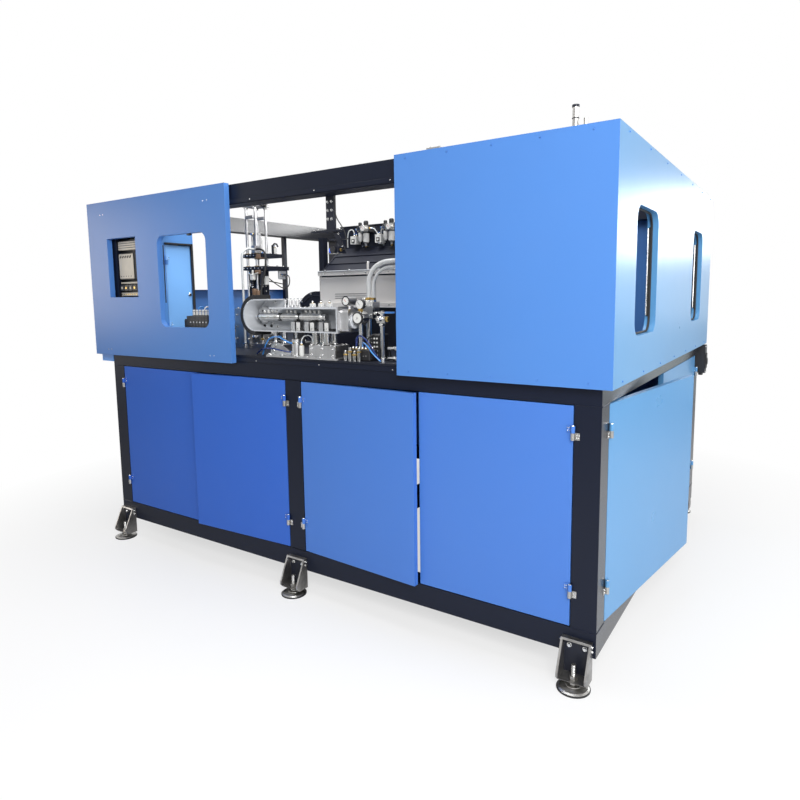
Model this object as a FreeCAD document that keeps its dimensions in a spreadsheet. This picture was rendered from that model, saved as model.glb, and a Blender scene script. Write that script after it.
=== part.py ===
import FreeCAD, Part
import math
import os
import Sketcher
from FreeCAD import Placement, Rotation, Vector

# Stretch blow moulding machine in a 3 m welded frame. X runs along the front from left to right,
# Y from the front to the back, Z up from the floor. The origin is under the middle of the frame.

SIZES = [
    # Welded frame of square tube
    ("frame_length", 3000), ("frame_depth", 2224), ("tube", 100), ("tube_wall", 5),
    ("underside", 120), ("lower_height", 967), ("deck_thickness", 10), ("upper_height", 768),
    # Adjustable feet
    ("foot_inset", 70), ("foot_width", 116), ("foot_rise", 64), ("foot_drop", 88),
    ("foot_lip_depth", 22), ("foot_depth", 78), ("foot_sheet", 8), ("foot_back", 4),
    ("stud_radius", 9), ("stud_play", 0.5), ("stud_top", 98), ("nut_radius", 16),
    ("nut_height", 14), ("pad_radius", 62), ("pad_height", 17), ("pad_neck_radius", 24),
    # Folded sheet panels of the upper storey
    ("panel_proud", 40), ("panel_low", 32), ("panel_high", 5), ("panel_sheet", 2),
    ("side_proud", 45), ("right_panel_width", 903), ("rear_panel_width", 1595),
    ("sliding_door_width", 1232), ("sliding_door_overhang", 118), ("left_wall_height", 395),
    ("left_wall_start", 320), ("stile_width", 30), ("stile_from_front", 1525),
    # Windows in the sliding door
    ("controls_left", 190), ("controls_width", 277), ("controls_low", 350),
    ("controls_height", 346), ("view_left", 666), ("view_width", 406), ("view_low", 180),
    ("view_height", 504), ("view_radius", 45),
    # Windows in the right end wall
    ("side_window_front", 288), ("side_window_width", 384), ("rear_window_front", 1607),
    ("rear_window_width", 333), ("side_window_low", 170), ("side_window_height", 502),
    ("side_window_radius", 60),
    # Track of the sliding door
    ("track_height", 20), ("track_depth", 6), ("track_inset", 4), ("track_gap", 2),
    ("glide_length", 60), ("glide_wall", 8), ("glide_play", 0.4), ("glide_inset", 150),
    # Lower doors and their lift-off hinges
    ("door_gap", 4), ("door_depth", 25), ("door_sheet", 1.5), ("hinge_radius", 8),
    ("hinge_half", 27), ("hinge_play", 0.4), ("hinge_leaf", 3), ("leaf_width", 24),
    ("hinge_low", 248), ("hinge_high", 862), ("hinge_stand", 9), ("pin_radius", 4),
    ("pin_play", 0.05), ("door2_ajar", 3), ("door3_ajar", 3.5), ("door5_ajar", 8),
    # Electrical cabinet at the left end
    ("cabinet_width", 566), ("cabinet_depth", 286), ("cabinet_skirt", 88), ("skirt_gap", 2),
    ("cabinet_sheet", 3), ("window_margin", 12), ("post_play", 0.5),
    ("mount_plate_depth", 190), ("mount_plate_inset", 20), ("hatch_front", 85),
    ("hatch_width", 178), ("hatch_low", 40), ("hatch_height", 570), ("hatch_gap", 3),
    ("hatch_depth", 14), ("plate_stud_radius", 6),
    ("row1_level", 573), ("row1_height", 80), ("row2_level", 416), ("row2_height", 152),
    ("row3_level", 350), ("row3_height", 44), ("row4_level", 240), ("row4_height", 76),
    ("breaker_reach", 55), ("drive_reach", 62), ("breaker_width", 45), ("drive_width", 188),
    ("contactor_width", 62), ("device_start", 6), ("device_gap", 12), ("drive_corner", 12),
    ("rail_reach", 8), ("rail_inset", 3), ("din_height", 35), ("hatch_hinge_inset", 90),
    # Oven, hood and valve board
    ("oven_left", 1199), ("oven_length", 1240), ("oven_front", 600), ("oven_depth", 400),
    ("oven_low", 234), ("oven_height", 205), ("oven_lip", 24), ("oven_lip_proud", 16),
    ("hood_rise", 141), ("hood_run", 185), ("board_height", 128), ("board_thickness", 5),
    ("stand_inset", 40), ("regulator_first", 226), ("regulator_pitch", 179),
    ("regulator_reach", 45), ("regulator_radius", 21), ("regulator_half", 27),
    ("regulator_level", 84), ("regulator_height", 38), ("bowl_height", 80), ("stem_radius", 6),
    ("stem_height", 14), ("knob_radius", 13), ("knob_height", 26), ("gauge_radius", 17),
    ("gauge_depth", 14), ("valve_box_first", 112), ("valve_box_width", 40),
    ("valve_box_depth", 48), ("valve_box_level", 20), ("valve_box_height", 46),
    # Valve terminal on its stand behind the sliding door
    ("terminal_left", 650), ("terminal_width", 196), ("terminal_front", 42),
    ("terminal_depth", 60), ("terminal_low", 128), ("terminal_height", 70),
    ("terminal_step", 18), ("plug_pitch", 26), ("plug_radius", 7), ("plug_height", 34),
    ("terminal_leg", 8),
    # Round blower behind the tower
    ("blower_x", 800), ("blower_front", 1010), ("blower_radius", 190), ("blower_depth", 150),
    ("blower_axis", 140), ("outlet_height", 120),
    # Stretch and seal tower over the mould
    ("tower_x", 800), ("tower_y", 477), ("rod_spread_x", 76), ("rod_spread_y", 84),
    ("rod_radius", 8), ("bridge_top", 232), ("bridge_thickness", 20), ("top_plate_low", 830),
    ("top_plate_thickness", 18), ("stretch_plate_low", 532), ("seal_plate_low", 457),
    ("plate_thickness", 22), ("head_block_drop", 178), ("bore_play", 0.05),
    ("stretch_pin_radius", 6), ("stretch_pin_end", 262), ("cylinder_radius", 25),
    ("cylinder_height", 124), ("cylinder_floor", 16), ("cylinder_rod_end", 590),
    ("cylinder_cap", 14), ("bridge_half", 62), ("top_plate_half", 56), ("stretch_reach_x", 98),
    ("stretch_half", 58), ("stretch_reach_y", 113), ("seal_reach_x", 118), ("seal_half", 62),
    ("seal_reach_y", 147), ("head_left", 50), ("head_right", 60), ("head_half", 30),
    ("head_step", 14), ("head_cylinder_radius", 12), ("head_cylinder_height", 92),
    ("head_cylinder_first", -5), ("head_cylinder_pitch", 80),
    ("clip_half", 14), ("clip_height", 40), ("clip_level", 560), ("cable_front", 362),
    ("gland_radius", 13), ("gland_height", 20), ("hose_reach", 90), ("cable_gland", 133),
    # Mould and clamp
    ("mould_width", 84), ("mould_depth", 180), ("mould_height", 160), ("mould_split", 1),
    ("cavity_radius", 32), ("bed_thickness", 26), ("rail_height", 12), ("rail_width", 24),
    ("rail_spread", 140), ("slide_play", 0.3), ("clamp_travel", 70), ("platen_thickness", 18),
    ("clamp_rod_radius", 12), ("clamp_size", 80), ("clamp_length", 140), ("bed_half_x", 330),
    ("bed_half_y", 140), ("cheek_thickness", 16),
    # Preform transfer at the front of the middle bay
    ("tray_left", 1155), ("tray_right", 1776), ("tray_front", 15), ("tray_depth", 120),
    ("tray_low", 125), ("tray_height", 163), ("tray_wall", 6), ("tray_step", 44),
    ("tray_step_left", 1340), ("belt", 20), ("bed_plate", 8), ("guide_rod_radius", 15),
    ("guide_block_left", 1612), ("guide_block_width", 160), ("guide_block_depth", 110),
    ("guide_block_height", 58), ("bar_level", 197), ("bar_radius", 17), ("barrel_radius", 22),
    ("bar_start", 49), ("bar_neck", 26), ("barrel_long", 130), ("barrel_short", 100),
    ("seat_width", 26), ("seat_first", 255), ("seat_pitch", 90), ("seat_depth", 30),
    ("pulley_inset", 62), ("pulley_radius", 42), ("motor_length", 46), ("motor_inset", 15),
    ("leg_radius", 11), ("leg_first", 170), ("leg_pitch", 63), ("leg_length", 57),
    ("gauge_stand_radius", 22), ("gauge_stand_level", 275), ("spindle_radius", 8),
    ("spindle_height", 40), ("spindle_pitch", 24), ("spindle_first", 14),
    ("lift_x", 1480), ("lift_y", 60), ("lift_radius", 24), ("lift_height", 80),
    ("lift_rod_radius", 8), ("base_left", 1330), ("base_right", 1788),
    ("base_front", -5), ("guide_front", 2), ("guide_rod_inset", 18), ("guide_rod_pitch_x", 73),
    ("guide_rod_y", 28), ("guide_rod_pitch_y", 55), ("gusset_left", 1300),
    ("gusset_width", 140), ("gusset_height", 60), ("gusset_thickness", 10),
    # Air fittings on the right of the middle bay
    ("manifold_x", 1792), ("manifold_y", 250), ("manifold_low", 188), ("manifold_height", 80),
    ("manifold_width", 86), ("valve_x", 1866), ("valve_y", 60), ("valve_level", 196),
    ("valve_radius", 32), ("tap_x", 1975), ("tap_y", 100), ("tap_level", 174),
    ("tap_radius", 11), ("receiver_x", 2330), ("receiver_y", 330), ("receiver_radius", 130),
    ("receiver_height", 560), ("air_hose_radius", 12), ("drain_hose_radius", 8),
    ("column_radius", 16), ("column_foot_radius", 30), ("column_foot_height", 12),
    ("nozzle_radius", 15), ("nozzle_height", 9), ("drain_offset", 28), ("port_length", 70),
    ("air_port_level", 463), ("drain_port_level", 436), ("valve_depth", 42),
    ("tap_body", 22), ("tap_height", 44), ("lever_length", 62), ("lever_width", 14),
    ("lever_height", 6), ("drain_bar_radius", 7), ("drain_bar_length", 230),
    ("drain_bar_level", 58), ("fitting_first", 1812), ("fitting_pitch", 26),
    ("fitting_y", 30), ("fitting_radius", 9), ("fitting_height", 36),
    ("tower_hose_radius", 7), ("cable_radius", 6),
    # Sensor arm behind the front top beam, and vent pipes above it
    ("sensor_x", 1680), ("sensor_width", 45), ("sensor_depth", 20), ("sensor_drop", 155),
    ("sensor_rise", 80), ("arm_plate", 10), ("arm_plate_left", 121), ("arm_plate_right", 46),
    ("arm_step", 42), ("arm_step_right", 81), ("sensor_body_width", 43),
    ("sensor_body_height", 34), ("sensor_body_depth", 40), ("brace_drop", 105),
    ("brace_run", 58), ("brace_width", 30), ("brace_sheet", 6),
    ("vent_x", 2866), ("vent_radius", 11), ("vent_height", 98), ("vent_pitch", 37),
    ("vent_flange", 6), ("cap_left", 2253), ("cap_width", 61),
    ("cap_height", 30), ("socket_inset", 4), ("socket_width", 70), ("socket_depth", 55),
    ("socket_drop", 37), ("socket_height", 180), ("socket_corner", 8),
    ("hood_post_width", 36), ("hood_post_depth", 40), ("hood_post_rise", 60),
]


class Size:
    """A length with its present value and the sheet formula that it follows."""

    def __init__(self, value, formula):
        self.value = float(value)
        self.formula = formula

    def joined(self, sign, other, value):
        return Size(value, "(%s %s %s)" % (self.formula, sign, formula_of(other)))

    def __add__(self, other):
        return self.joined("+", other, self.value + value_of(other))

    def __radd__(self, other):
        return self + other

    def __sub__(self, other):
        return self.joined("-", other, self.value - value_of(other))

    def __rsub__(self, other):
        return -self + other

    def __mul__(self, factor):
        return self.joined("*", factor, self.value * value_of(factor))

    def __rmul__(self, factor):
        return self * factor

    def __truediv__(self, divisor):
        return self.joined("/", divisor, self.value / value_of(divisor))

    def __neg__(self):
        return Size(-self.value, "(0 - %s)" % self.formula)


def value_of(size):
    return size.value if isinstance(size, Size) else float(size)


def formula_of(size):
    return size.formula if isinstance(size, Size) else "(%r)" % float(size)


doc = FreeCAD.newDocument("BlowMouldingMachine")
sheet = doc.addObject("Spreadsheet::Sheet", "Sizes")


class Named:
    """Every driving size by its name."""


D = Named()
for row, (name, value) in enumerate(SIZES, start=1):
    sheet.set("A%d" % row, name)
    sheet.set("B%d" % row, str(value))
    sheet.setAlias("B%d" % row, name)
    setattr(D, name, Size(value, "Sizes." + name))
doc.recompute()

SUB_PARTS = []
X_AXIS, Y_AXIS, Z_AXIS = Vector(1, 0, 0), Vector(0, 1, 0), Vector(0, 0, 1)


# ---------------------------------------------------------------- modelling helpers

def bind(item, name, size):
    """Set a property and tie it to the sheet."""
    if isinstance(size, Size):
        item.setExpression(name, size.formula)
    else:
        setattr(item, name, size)


def place(item, at, axis=Z_AXIS, angle=0):
    """Put an item at three sizes, turned about an axis."""
    item.Placement = Placement(Vector(*map(value_of, at)), Rotation(axis, value_of(angle)))
    for key, size in zip("xyz", at):
        if isinstance(size, Size):
            item.setExpression("Placement.Base." + key, size.formula)
    if isinstance(angle, Size):
        item.setExpression("Placement.Rotation.Angle", angle.formula)
    return item


def block(name, x, y, z):
    """A box between two sizes along each axis."""
    box = doc.addObject("Part::Box", name)
    for side, (low, high) in zip(("Length", "Width", "Height"), (x, y, z)):
        bind(box, side, high - low)
    return place(box, (x[0], y[0], z[0]))


def rod(name, along, at, radius, length):
    """A round bar whose near end is at a point and which runs along +X, +Y or +Z."""
    bar = doc.addObject("Part::Cylinder", name)
    bind(bar, "Radius", radius)
    bind(bar, "Height", length)
    axis, angle = {"x": (Y_AXIS, 90), "y": (X_AXIS, -90), "z": (Z_AXIS, 0)}[along]
    return place(bar, at, axis, angle)


def fuse(name, items):
    item = doc.addObject("Part::MultiFuse", name)
    item.Shapes = items
    item.Refine = True
    return item


def group(name, items):
    """Pieces that stay separate solids in one sub-part."""
    item = doc.addObject("Part::Compound", name)
    item.Links = items
    return item


def cut(name, base, tools):
    item = doc.addObject("Part::Cut", name)
    item.Base = base
    item.Tool = tools[0] if len(tools) == 1 else group(name + "Tools", tools)
    return item


def soften(name, base, axis, radius, keep=lambda middle: True):
    """Round the straight edges that run along an axis."""
    doc.recompute()
    item = doc.addObject("Part::Fillet", name)
    item.Base = base
    edges = []
    for number, edge in enumerate(base.Shape.Edges, start=1):
        if edge.Curve.TypeId == "Part::GeomLine" and abs(edge.Curve.Direction.dot(axis)) > 0.999:
            if keep(edge.CenterOfMass):
                edges.append((number, value_of(radius), value_of(radius)))
    item.Edges = edges
    return item


def sub_part(item, label):
    """Register a finished sub-part under the name of its file."""
    item.Label = label
    SUB_PARTS.append(item)
    return item


def new_body(name):
    return doc.addObject("PartDesign::Body", name)


def sketch_on(body, role, name, offset=0):
    """A sketch on one of the body's own origin planes, moved along the plane's normal."""
    sketch = body.newObject("Sketcher::SketchObject", name)
    plane = [item for item in body.Origin.OriginFeatures if item.Role == role][0]
    sketch.AttachmentSupport = [(plane, "")]
    sketch.MapMode = "FlatFace"
    sketch.AttachmentOffset = Placement(Vector(0, 0, value_of(offset)), Rotation())
    if isinstance(offset, Size):
        sketch.setExpression("AttachmentOffset.Base.z", offset.formula)
    return sketch


def pin_point(sketch, geometry, end, across, up):
    """Fix a sketch point to two sizes from the sketch's origin."""
    for kind, size in (("DistanceX", across), ("DistanceY", up)):
        if size is None:
            continue
        number = sketch.addConstraint(
            Sketcher.Constraint(kind, -1, 1, geometry, end, value_of(size)))
        if isinstance(size, Size):
            sketch.setExpression("Constraints[%d]" % number, size.formula)


def polygon(sketch, points):
    """A closed outline whose corners each follow two sizes."""
    corners = [Vector(value_of(across), value_of(up), 0) for across, up in points]
    first = sketch.GeometryCount
    for start, end in zip(corners, corners[1:] + corners[:1]):
        sketch.addGeometry(Part.LineSegment(start, end), False)
    for index, (across, up) in enumerate(points):
        here, before = first + index, first + (index - 1) % len(points)
        sketch.addConstraint(Sketcher.Constraint("Coincident", before, 2, here, 1))
        pin_point(sketch, here, 1, across, up)


def rectangle(sketch, across, up):
    polygon(sketch, [(across[0], up[0]), (across[1], up[0]), (across[1], up[1]),
                     (across[0], up[1])])


def rounded(sketch, across, up, radius):
    """A rectangle with equal round corners."""
    x0, x1 = value_of(across[0]), value_of(across[1])
    y0, y1, r = value_of(up[0]), value_of(up[1]), value_of(radius)
    first = sketch.GeometryCount
    lines = [((x0 + r, y0), (x1 - r, y0)), ((x1, y0 + r), (x1, y1 - r)),
             ((x1 - r, y1), (x0 + r, y1)), ((x0, y1 - r), (x0, y0 + r))]
    centres = [(x1 - r, y0 + r), (x1 - r, y1 - r), (x0 + r, y1 - r), (x0 + r, y0 + r)]
    for turn, (line, centre) in enumerate(zip(lines, centres)):
        start = (turn - 1) * math.pi / 2
        sketch.addGeometry(Part.LineSegment(Vector(*line[0], 0), Vector(*line[1], 0)), False)
        circle = Part.Circle(Vector(*centre, 0), Z_AXIS, r)
        sketch.addGeometry(Part.ArcOfCircle(circle, start, start + math.pi / 2), False)
    for turn in range(4):
        line, arc = first + 2 * turn, first + 2 * turn + 1
        sketch.addConstraint(Sketcher.Constraint("Tangent", line, 2, arc, 1))
        sketch.addConstraint(Sketcher.Constraint("Tangent", arc, 2, first + (2 * turn + 2) % 8, 1))
        level = "Horizontal" if turn % 2 == 0 else "Vertical"
        sketch.addConstraint(Sketcher.Constraint(level, line))
    for turn in range(1, 4):
        sketch.addConstraint(Sketcher.Constraint("Equal", first + 1, first + 2 * turn + 1))
    number = sketch.addConstraint(Sketcher.Constraint("Radius", first + 1, r))
    if isinstance(radius, Size):
        sketch.setExpression("Constraints[%d]" % number, radius.formula)
    pin_point(sketch, first, 1, None, up[0])
    pin_point(sketch, first + 2, 1, across[1], None)
    pin_point(sketch, first + 4, 1, None, up[1])
    pin_point(sketch, first + 6, 1, across[0], None)


def disc(sketch, across, up, radius):
    """A circle whose centre and radius follow three sizes."""
    centre = Vector(value_of(across), value_of(up), 0)
    number = sketch.addGeometry(Part.Circle(centre, Z_AXIS, value_of(radius)), False)
    pin_point(sketch, number, 3, across, up)
    bound = sketch.addConstraint(Sketcher.Constraint("Radius", number, value_of(radius)))
    if isinstance(radius, Size):
        sketch.setExpression("Constraints[%d]" % bound, radius.formula)


def pad(body, sketch, length, backwards=False):
    item = body.newObject("PartDesign::Pad", sketch.Name + "Pad")
    item.Profile = sketch
    bind(item, "Length", length)
    item.Reversed = backwards
    sketch.Visibility = False
    return item


def pocket(body, sketch, length, backwards=False):
    item = body.newObject("PartDesign::Pocket", sketch.Name + "Pocket")
    item.Profile = sketch
    bind(item, "Length", length)
    item.Reversed = backwards
    sketch.Visibility = False
    return item


def revolved(name, points):
    """A body turned about its own Z axis from an outline of (radius, height) points."""
    body = new_body(name)
    sketch = sketch_on(body, "XZ_Plane", name + "Outline")
    polygon(sketch, points)
    turn = body.newObject("PartDesign::Revolution", name + "Turn")
    turn.Profile = sketch
    turn.ReferenceAxis = (sketch, ["V_Axis"])
    turn.Angle = 360
    return body


def prism(name, role, points, length, backwards=False, offset=0):
    """A body padded from an outline on one of its origin planes."""
    body = new_body(name)
    sketch = sketch_on(body, role, name + "Outline", offset)
    polygon(sketch, points)
    pad(body, sketch, length, backwards)
    return body


def folded_panel(name, width, height, depth, skin, windows=(), left=0, front=0, notch=None,
                 notch_width=0):
    """A sheet with its edges folded back, and window returns. It faces the body's -Y side.

    A notch takes the folds off one end, where the next sheet passes behind it."""
    body = new_body(name)
    face = sketch_on(body, "XZ_Plane", name + "Face", -front)
    rectangle(face, (left, left + width), (0, height))
    for across, up, radius in windows:
        if radius is None:
            rectangle(face, across, up)
        else:
            rounded(face, across, up, radius)
    pad(body, face, depth, backwards=True)
    hollow = sketch_on(body, "XZ_Plane", name + "Hollow", -(depth + front))
    low, high, start, end = skin, height - skin, left + skin, left + width - skin
    if notch == "right":
        edge = left + width - notch_width
        polygon(hollow, [(start, low), (edge, low), (edge, -skin), (end + skin * 2, -skin),
                         (end + skin * 2, height + skin), (edge, height + skin), (edge, high),
                         (start, high)])
    elif notch == "left":
        edge = left + notch_width
        polygon(hollow, [(end, high), (edge, high), (edge, height + skin),
                         (left - skin, height + skin), (left - skin, -skin), (edge, -skin),
                         (edge, low), (end, low)])
    else:
        rectangle(hollow, (start, end), (low, high))
    for across, up, radius in windows:
        outer = (across[0] - skin, across[1] + skin), (up[0] - skin, up[1] + skin)
        if radius is None:
            rectangle(hollow, *outer)
        else:
            rounded(hollow, *outer, radius + skin)
    pocket(body, hollow, depth - skin, backwards=True)
    return body


# ---------------------------------------------------------------- levels and datum lines

LEFT, RIGHT = -D.frame_length / 2, D.frame_length / 2
FRONT, BACK = -D.frame_depth / 2, D.frame_depth / 2
UNDER = D.underside
DECK_UNDER = UNDER + D.lower_height
BEAM_TOP = DECK_UNDER + D.tube
DECK = BEAM_TOP + D.deck_thickness
TOP_UNDER = DECK + D.upper_height
TOP = TOP_UNDER + D.tube
PANEL_LOW = BEAM_TOP - D.panel_low
PANEL_TOP = TOP + D.panel_high
PANEL_HEIGHT = PANEL_TOP - PANEL_LOW
PANEL_FRONT = FRONT - D.panel_proud
HALF_TUBE = D.tube / 2


# ---------------------------------------------------------------- frame

def square_tube(name, x, y, z):
    """A hollow square tube with its ends welded shut."""
    outside = block(name + "Outside", x, y, z)
    ranges = [(low + D.tube_wall, high - D.tube_wall) for low, high in (x, y, z)]
    return cut(name, outside, [block(name + "Inside", *ranges)])


def ring_of_beams(label, low, cross):
    """Front and back beams with the end beams, and a middle one, between them."""
    high = low + D.tube
    inner = (FRONT + D.tube, BACK - D.tube)
    beams = [
        square_tube(label + "Front", (LEFT, RIGHT), (FRONT, FRONT + D.tube), (low, high)),
        square_tube(label + "Back", (LEFT, RIGHT), (BACK - D.tube, BACK), (low, high)),
        square_tube(label + "Left", (LEFT, LEFT + D.tube), inner, (low, high)),
        square_tube(label + "Right", (RIGHT - D.tube, RIGHT), inner, (low, high)),
    ]
    if cross:
        beams.append(square_tube(label + "Middle", (-HALF_TUBE, HALF_TUBE), inner, (low, high)))
    sub_part(group(label.title(), beams), label)


def posts(label, low, high, middles):
    """Corner posts, with middle ones at the front and back where they are asked for."""
    columns = [(LEFT, "Left"), (RIGHT - D.tube, "Right")]
    rows = [(FRONT, "Front"), (BACK - D.tube, "Back")]
    places = [(x, y, side + end) for x, side in columns for y, end in rows]
    places += [(-HALF_TUBE, y, "Middle" + end) for y, end in rows if end in middles]
    return [square_tube(label + name, (x, x + D.tube), (y, y + D.tube), (low, high))
            for x, y, name in places]


ring_of_beams("bottom_beams", UNDER, cross=True)
lower_posts = posts("Lower", UNDER + D.tube, DECK_UNDER, middles=("Front", "Back"))
sub_part(group("LowerPosts", lower_posts), "lower_posts")
ring_of_beams("deck_beams", DECK_UNDER, cross=True)
sub_part(block("DeckPlate", (LEFT, RIGHT), (FRONT, BACK), (BEAM_TOP, DECK)), "deck_plate")
stile = block("Stile", (LEFT, LEFT + D.stile_width),
              (FRONT + D.stile_from_front, FRONT + D.stile_from_front + D.stile_width),
              (DECK, TOP_UNDER))
upper_posts = posts("Upper", DECK, TOP_UNDER, middles=("Back",))
sub_part(group("UpperPosts", upper_posts + [stile]), "upper_posts")
ring_of_beams("top_beams", TOP_UNDER, cross=False)


# ---------------------------------------------------------------- feet

def foot(name, x, front):
    """A pressed hood bolted to the beam's side, deeper towards its seat, with its stud and pad."""
    half = D.foot_width / 2
    low, high = UNDER - D.foot_drop, UNDER + D.foot_rise
    hood = prism(name + "Hood", "YZ_Plane", [
        (0, 0), (0, high - low), (-D.foot_lip_depth, high - low),
        (-D.foot_depth, (high - low) * 0.22), (-D.foot_depth, D.foot_sheet * 2),
        (-D.foot_depth * 0.8, 0)], D.foot_width)
    inside = sketch_on(hood, "XZ_Plane", name + "Mouth", D.foot_depth)
    rectangle(inside, (D.foot_sheet, D.foot_width - D.foot_sheet),
              (D.foot_sheet, high - low - D.foot_sheet))
    pocket(hood, inside, D.foot_depth - D.foot_back)
    middle = D.foot_depth * 0.52
    bore = sketch_on(hood, "XY_Plane", name + "Bore")
    disc(bore, half, -middle, D.stud_radius + D.stud_play)
    pocket(hood, bore, D.foot_sheet * 2, backwards=True)
    if front:
        place(hood, (x - half, FRONT, low))
        y = FRONT - middle
    else:
        place(hood, (x + half, BACK, low), Z_AXIS, 180)
        y = BACK + middle
    shank = rod(name + "Shank", "z", (x, y, D.pad_height), D.stud_radius,
                D.stud_top - D.pad_height)
    nut = doc.addObject("Part::Prism", name + "Nut")
    nut.Polygon = 6
    bind(nut, "Circumradius", D.nut_radius)
    bind(nut, "Height", D.nut_height)
    place(nut, (x, y, low + D.foot_sheet))
    base = place(revolved(name + "Pad", [
        (0, 0), (D.pad_radius, 0), (D.pad_radius, D.pad_height * 0.4),
        (D.pad_radius * 0.86, D.pad_height * 0.7), (D.pad_neck_radius, D.pad_height),
        (0, D.pad_height)]), (x, y, 0))
    return hood, fuse(name + "Stud", [shank, nut, base])


feet = [foot("Foot%s%d" % (side[0], number), x, side == "front")
        for side in ("front", "rear")
        for number, x in enumerate((LEFT + D.foot_inset, 0, RIGHT - D.foot_inset))]
for label, pieces in zip(("foot_brackets", "levelling_feet"), zip(*feet)):
    sub_part(group(label.title(), list(pieces)), label)


# ---------------------------------------------------------------- upper storey panels

CORNER_START = FRONT - D.panel_proud + D.panel_sheet
CORNER_END = BACK + D.panel_proud - D.panel_sheet

right_panel = folded_panel("RightPanel", D.right_panel_width, PANEL_HEIGHT, D.panel_proud,
                           D.panel_sheet, notch="right", notch_width=D.side_proud)
place(right_panel, (RIGHT + D.side_proud - D.right_panel_width, PANEL_FRONT, PANEL_LOW))
sub_part(right_panel, "right_front_panel")

end_windows = [
    ((start, start + width), (D.side_window_low, D.side_window_low + D.side_window_height),
     D.side_window_radius)
    for start, width in ((D.side_window_front, D.side_window_width),
                         (D.rear_window_front, D.rear_window_width))]
end_wall = folded_panel("EndWall", CORNER_END - CORNER_START, PANEL_HEIGHT, D.side_proud,
                        D.panel_sheet, end_windows)
place(end_wall, (RIGHT + D.side_proud, CORNER_START, PANEL_LOW), Z_AXIS, 90)
sub_part(end_wall, "right_end_wall")

rear_panel = folded_panel("RearPanel", D.rear_panel_width, PANEL_HEIGHT, D.panel_proud,
                          D.panel_sheet, notch="left", notch_width=D.side_proud)
place(rear_panel, (RIGHT + D.side_proud, BACK + D.panel_proud, PANEL_LOW), Z_AXIS, 180)
sub_part(rear_panel, "rear_upper_panel")

left_wall_end = D.stile_from_front + D.stile_width
left_wall = folded_panel("LeftWall", left_wall_end - D.left_wall_start, D.left_wall_height,
                         D.side_proud, D.panel_sheet)
place(left_wall, (LEFT - D.side_proud, FRONT + left_wall_end, PANEL_LOW), Z_AXIS, -90)
sub_part(left_wall, "left_end_wall")


# ---------------------------------------------------------------- sliding door and its track

DOOR_LEFT = LEFT - D.sliding_door_overhang
door_windows = [
    ((D.controls_left, D.controls_left + D.controls_width),
     (D.controls_low, D.controls_low + D.controls_height), None),
    ((D.view_left, D.view_left + D.view_width), (D.view_low, D.view_low + D.view_height),
     D.view_radius)]
sliding_door = folded_panel("SlidingDoor", D.sliding_door_width, PANEL_HEIGHT,
                            D.panel_proud - D.track_depth - D.track_gap, D.panel_sheet,
                            door_windows)
place(sliding_door, (DOOR_LEFT, PANEL_FRONT, PANEL_LOW))
sub_part(sliding_door, "sliding_door")

TRACK_LEVELS = (BEAM_TOP - D.panel_low + D.track_inset * 2, TOP_UNDER + D.track_inset)
TRACK_END = RIGHT + D.side_proud - D.right_panel_width - D.track_inset
tracks, glides = [], []
for level, end in zip(TRACK_LEVELS, ("Low", "High")):
    tracks.append(block("Track" + end, (LEFT + D.track_inset, TRACK_END),
                        (FRONT - D.track_depth, FRONT), (level, level + D.track_height)))
    for place_name, inset in (("Near", D.glide_inset),
                              ("Far", D.sliding_door_width - D.glide_inset)):
        start = DOOR_LEFT + inset - D.glide_length / 2
        run = (start, start + D.glide_length)
        hook = block("Glide" + end + place_name, run,
                     (PANEL_FRONT + D.panel_sheet, FRONT - D.glide_play),
                     (level + D.track_height / 2, level + D.track_height + D.glide_wall))
        groove = block("Groove" + end + place_name, run,
                       (FRONT - D.track_depth - D.glide_play, FRONT),
                       (level, level + D.track_height + D.glide_play))
        glides.append(cut("GlideHook" + end + place_name, hook, [groove]))
sub_part(group("Tracks", tracks), "door_tracks")
sub_part(group("Glides", glides), "door_glides")


# ---------------------------------------------------------------- lower doors

DOOR_LOW = UNDER + D.tube + D.door_gap
DOOR_HEIGHT = D.lower_height - D.tube - D.door_gap * 2
FRONT_BAY = (D.frame_length - D.tube * 3) / 2
FRONT_DOOR_WIDTH = (FRONT_BAY - D.door_gap * 3) / 2
END_DOOR_WIDTH = (D.frame_depth - D.tube * 2 - D.door_gap * 3) / 2
HALF_GAP = D.door_gap / 2
HINGE_FRONT = FRONT - D.hinge_stand
fixed_hinges = []


def hinge_half(name, side, level, fixed):
    """The lower half, with its pin, belongs to the post and the upper half to the door."""
    toward = -side if fixed else side
    low = level - D.hinge_half if fixed else level + D.hinge_play
    high = level if fixed else level + D.hinge_half
    knuckle = rod(name + "Knuckle", "z", (0, 0, low), D.hinge_radius, high - low)
    reach = (0, D.leaf_width) if toward > 0 else (-D.leaf_width, 0)
    leaf = block(name + "Leaf", reach, (D.hinge_stand - D.hinge_leaf, D.hinge_stand), (low, high))
    if fixed:
        pin = rod(name + "Pin", "z", (0, 0, low), D.pin_radius, D.hinge_half * 1.8)
        return fuse(name, [knuckle, leaf, pin])
    bore = rod(name + "Bore", "z", (0, 0, low), D.pin_radius + D.pin_play, D.hinge_half * 0.9)
    return cut(name, fuse(name + "Solid", [knuckle, leaf]), [bore])


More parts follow.
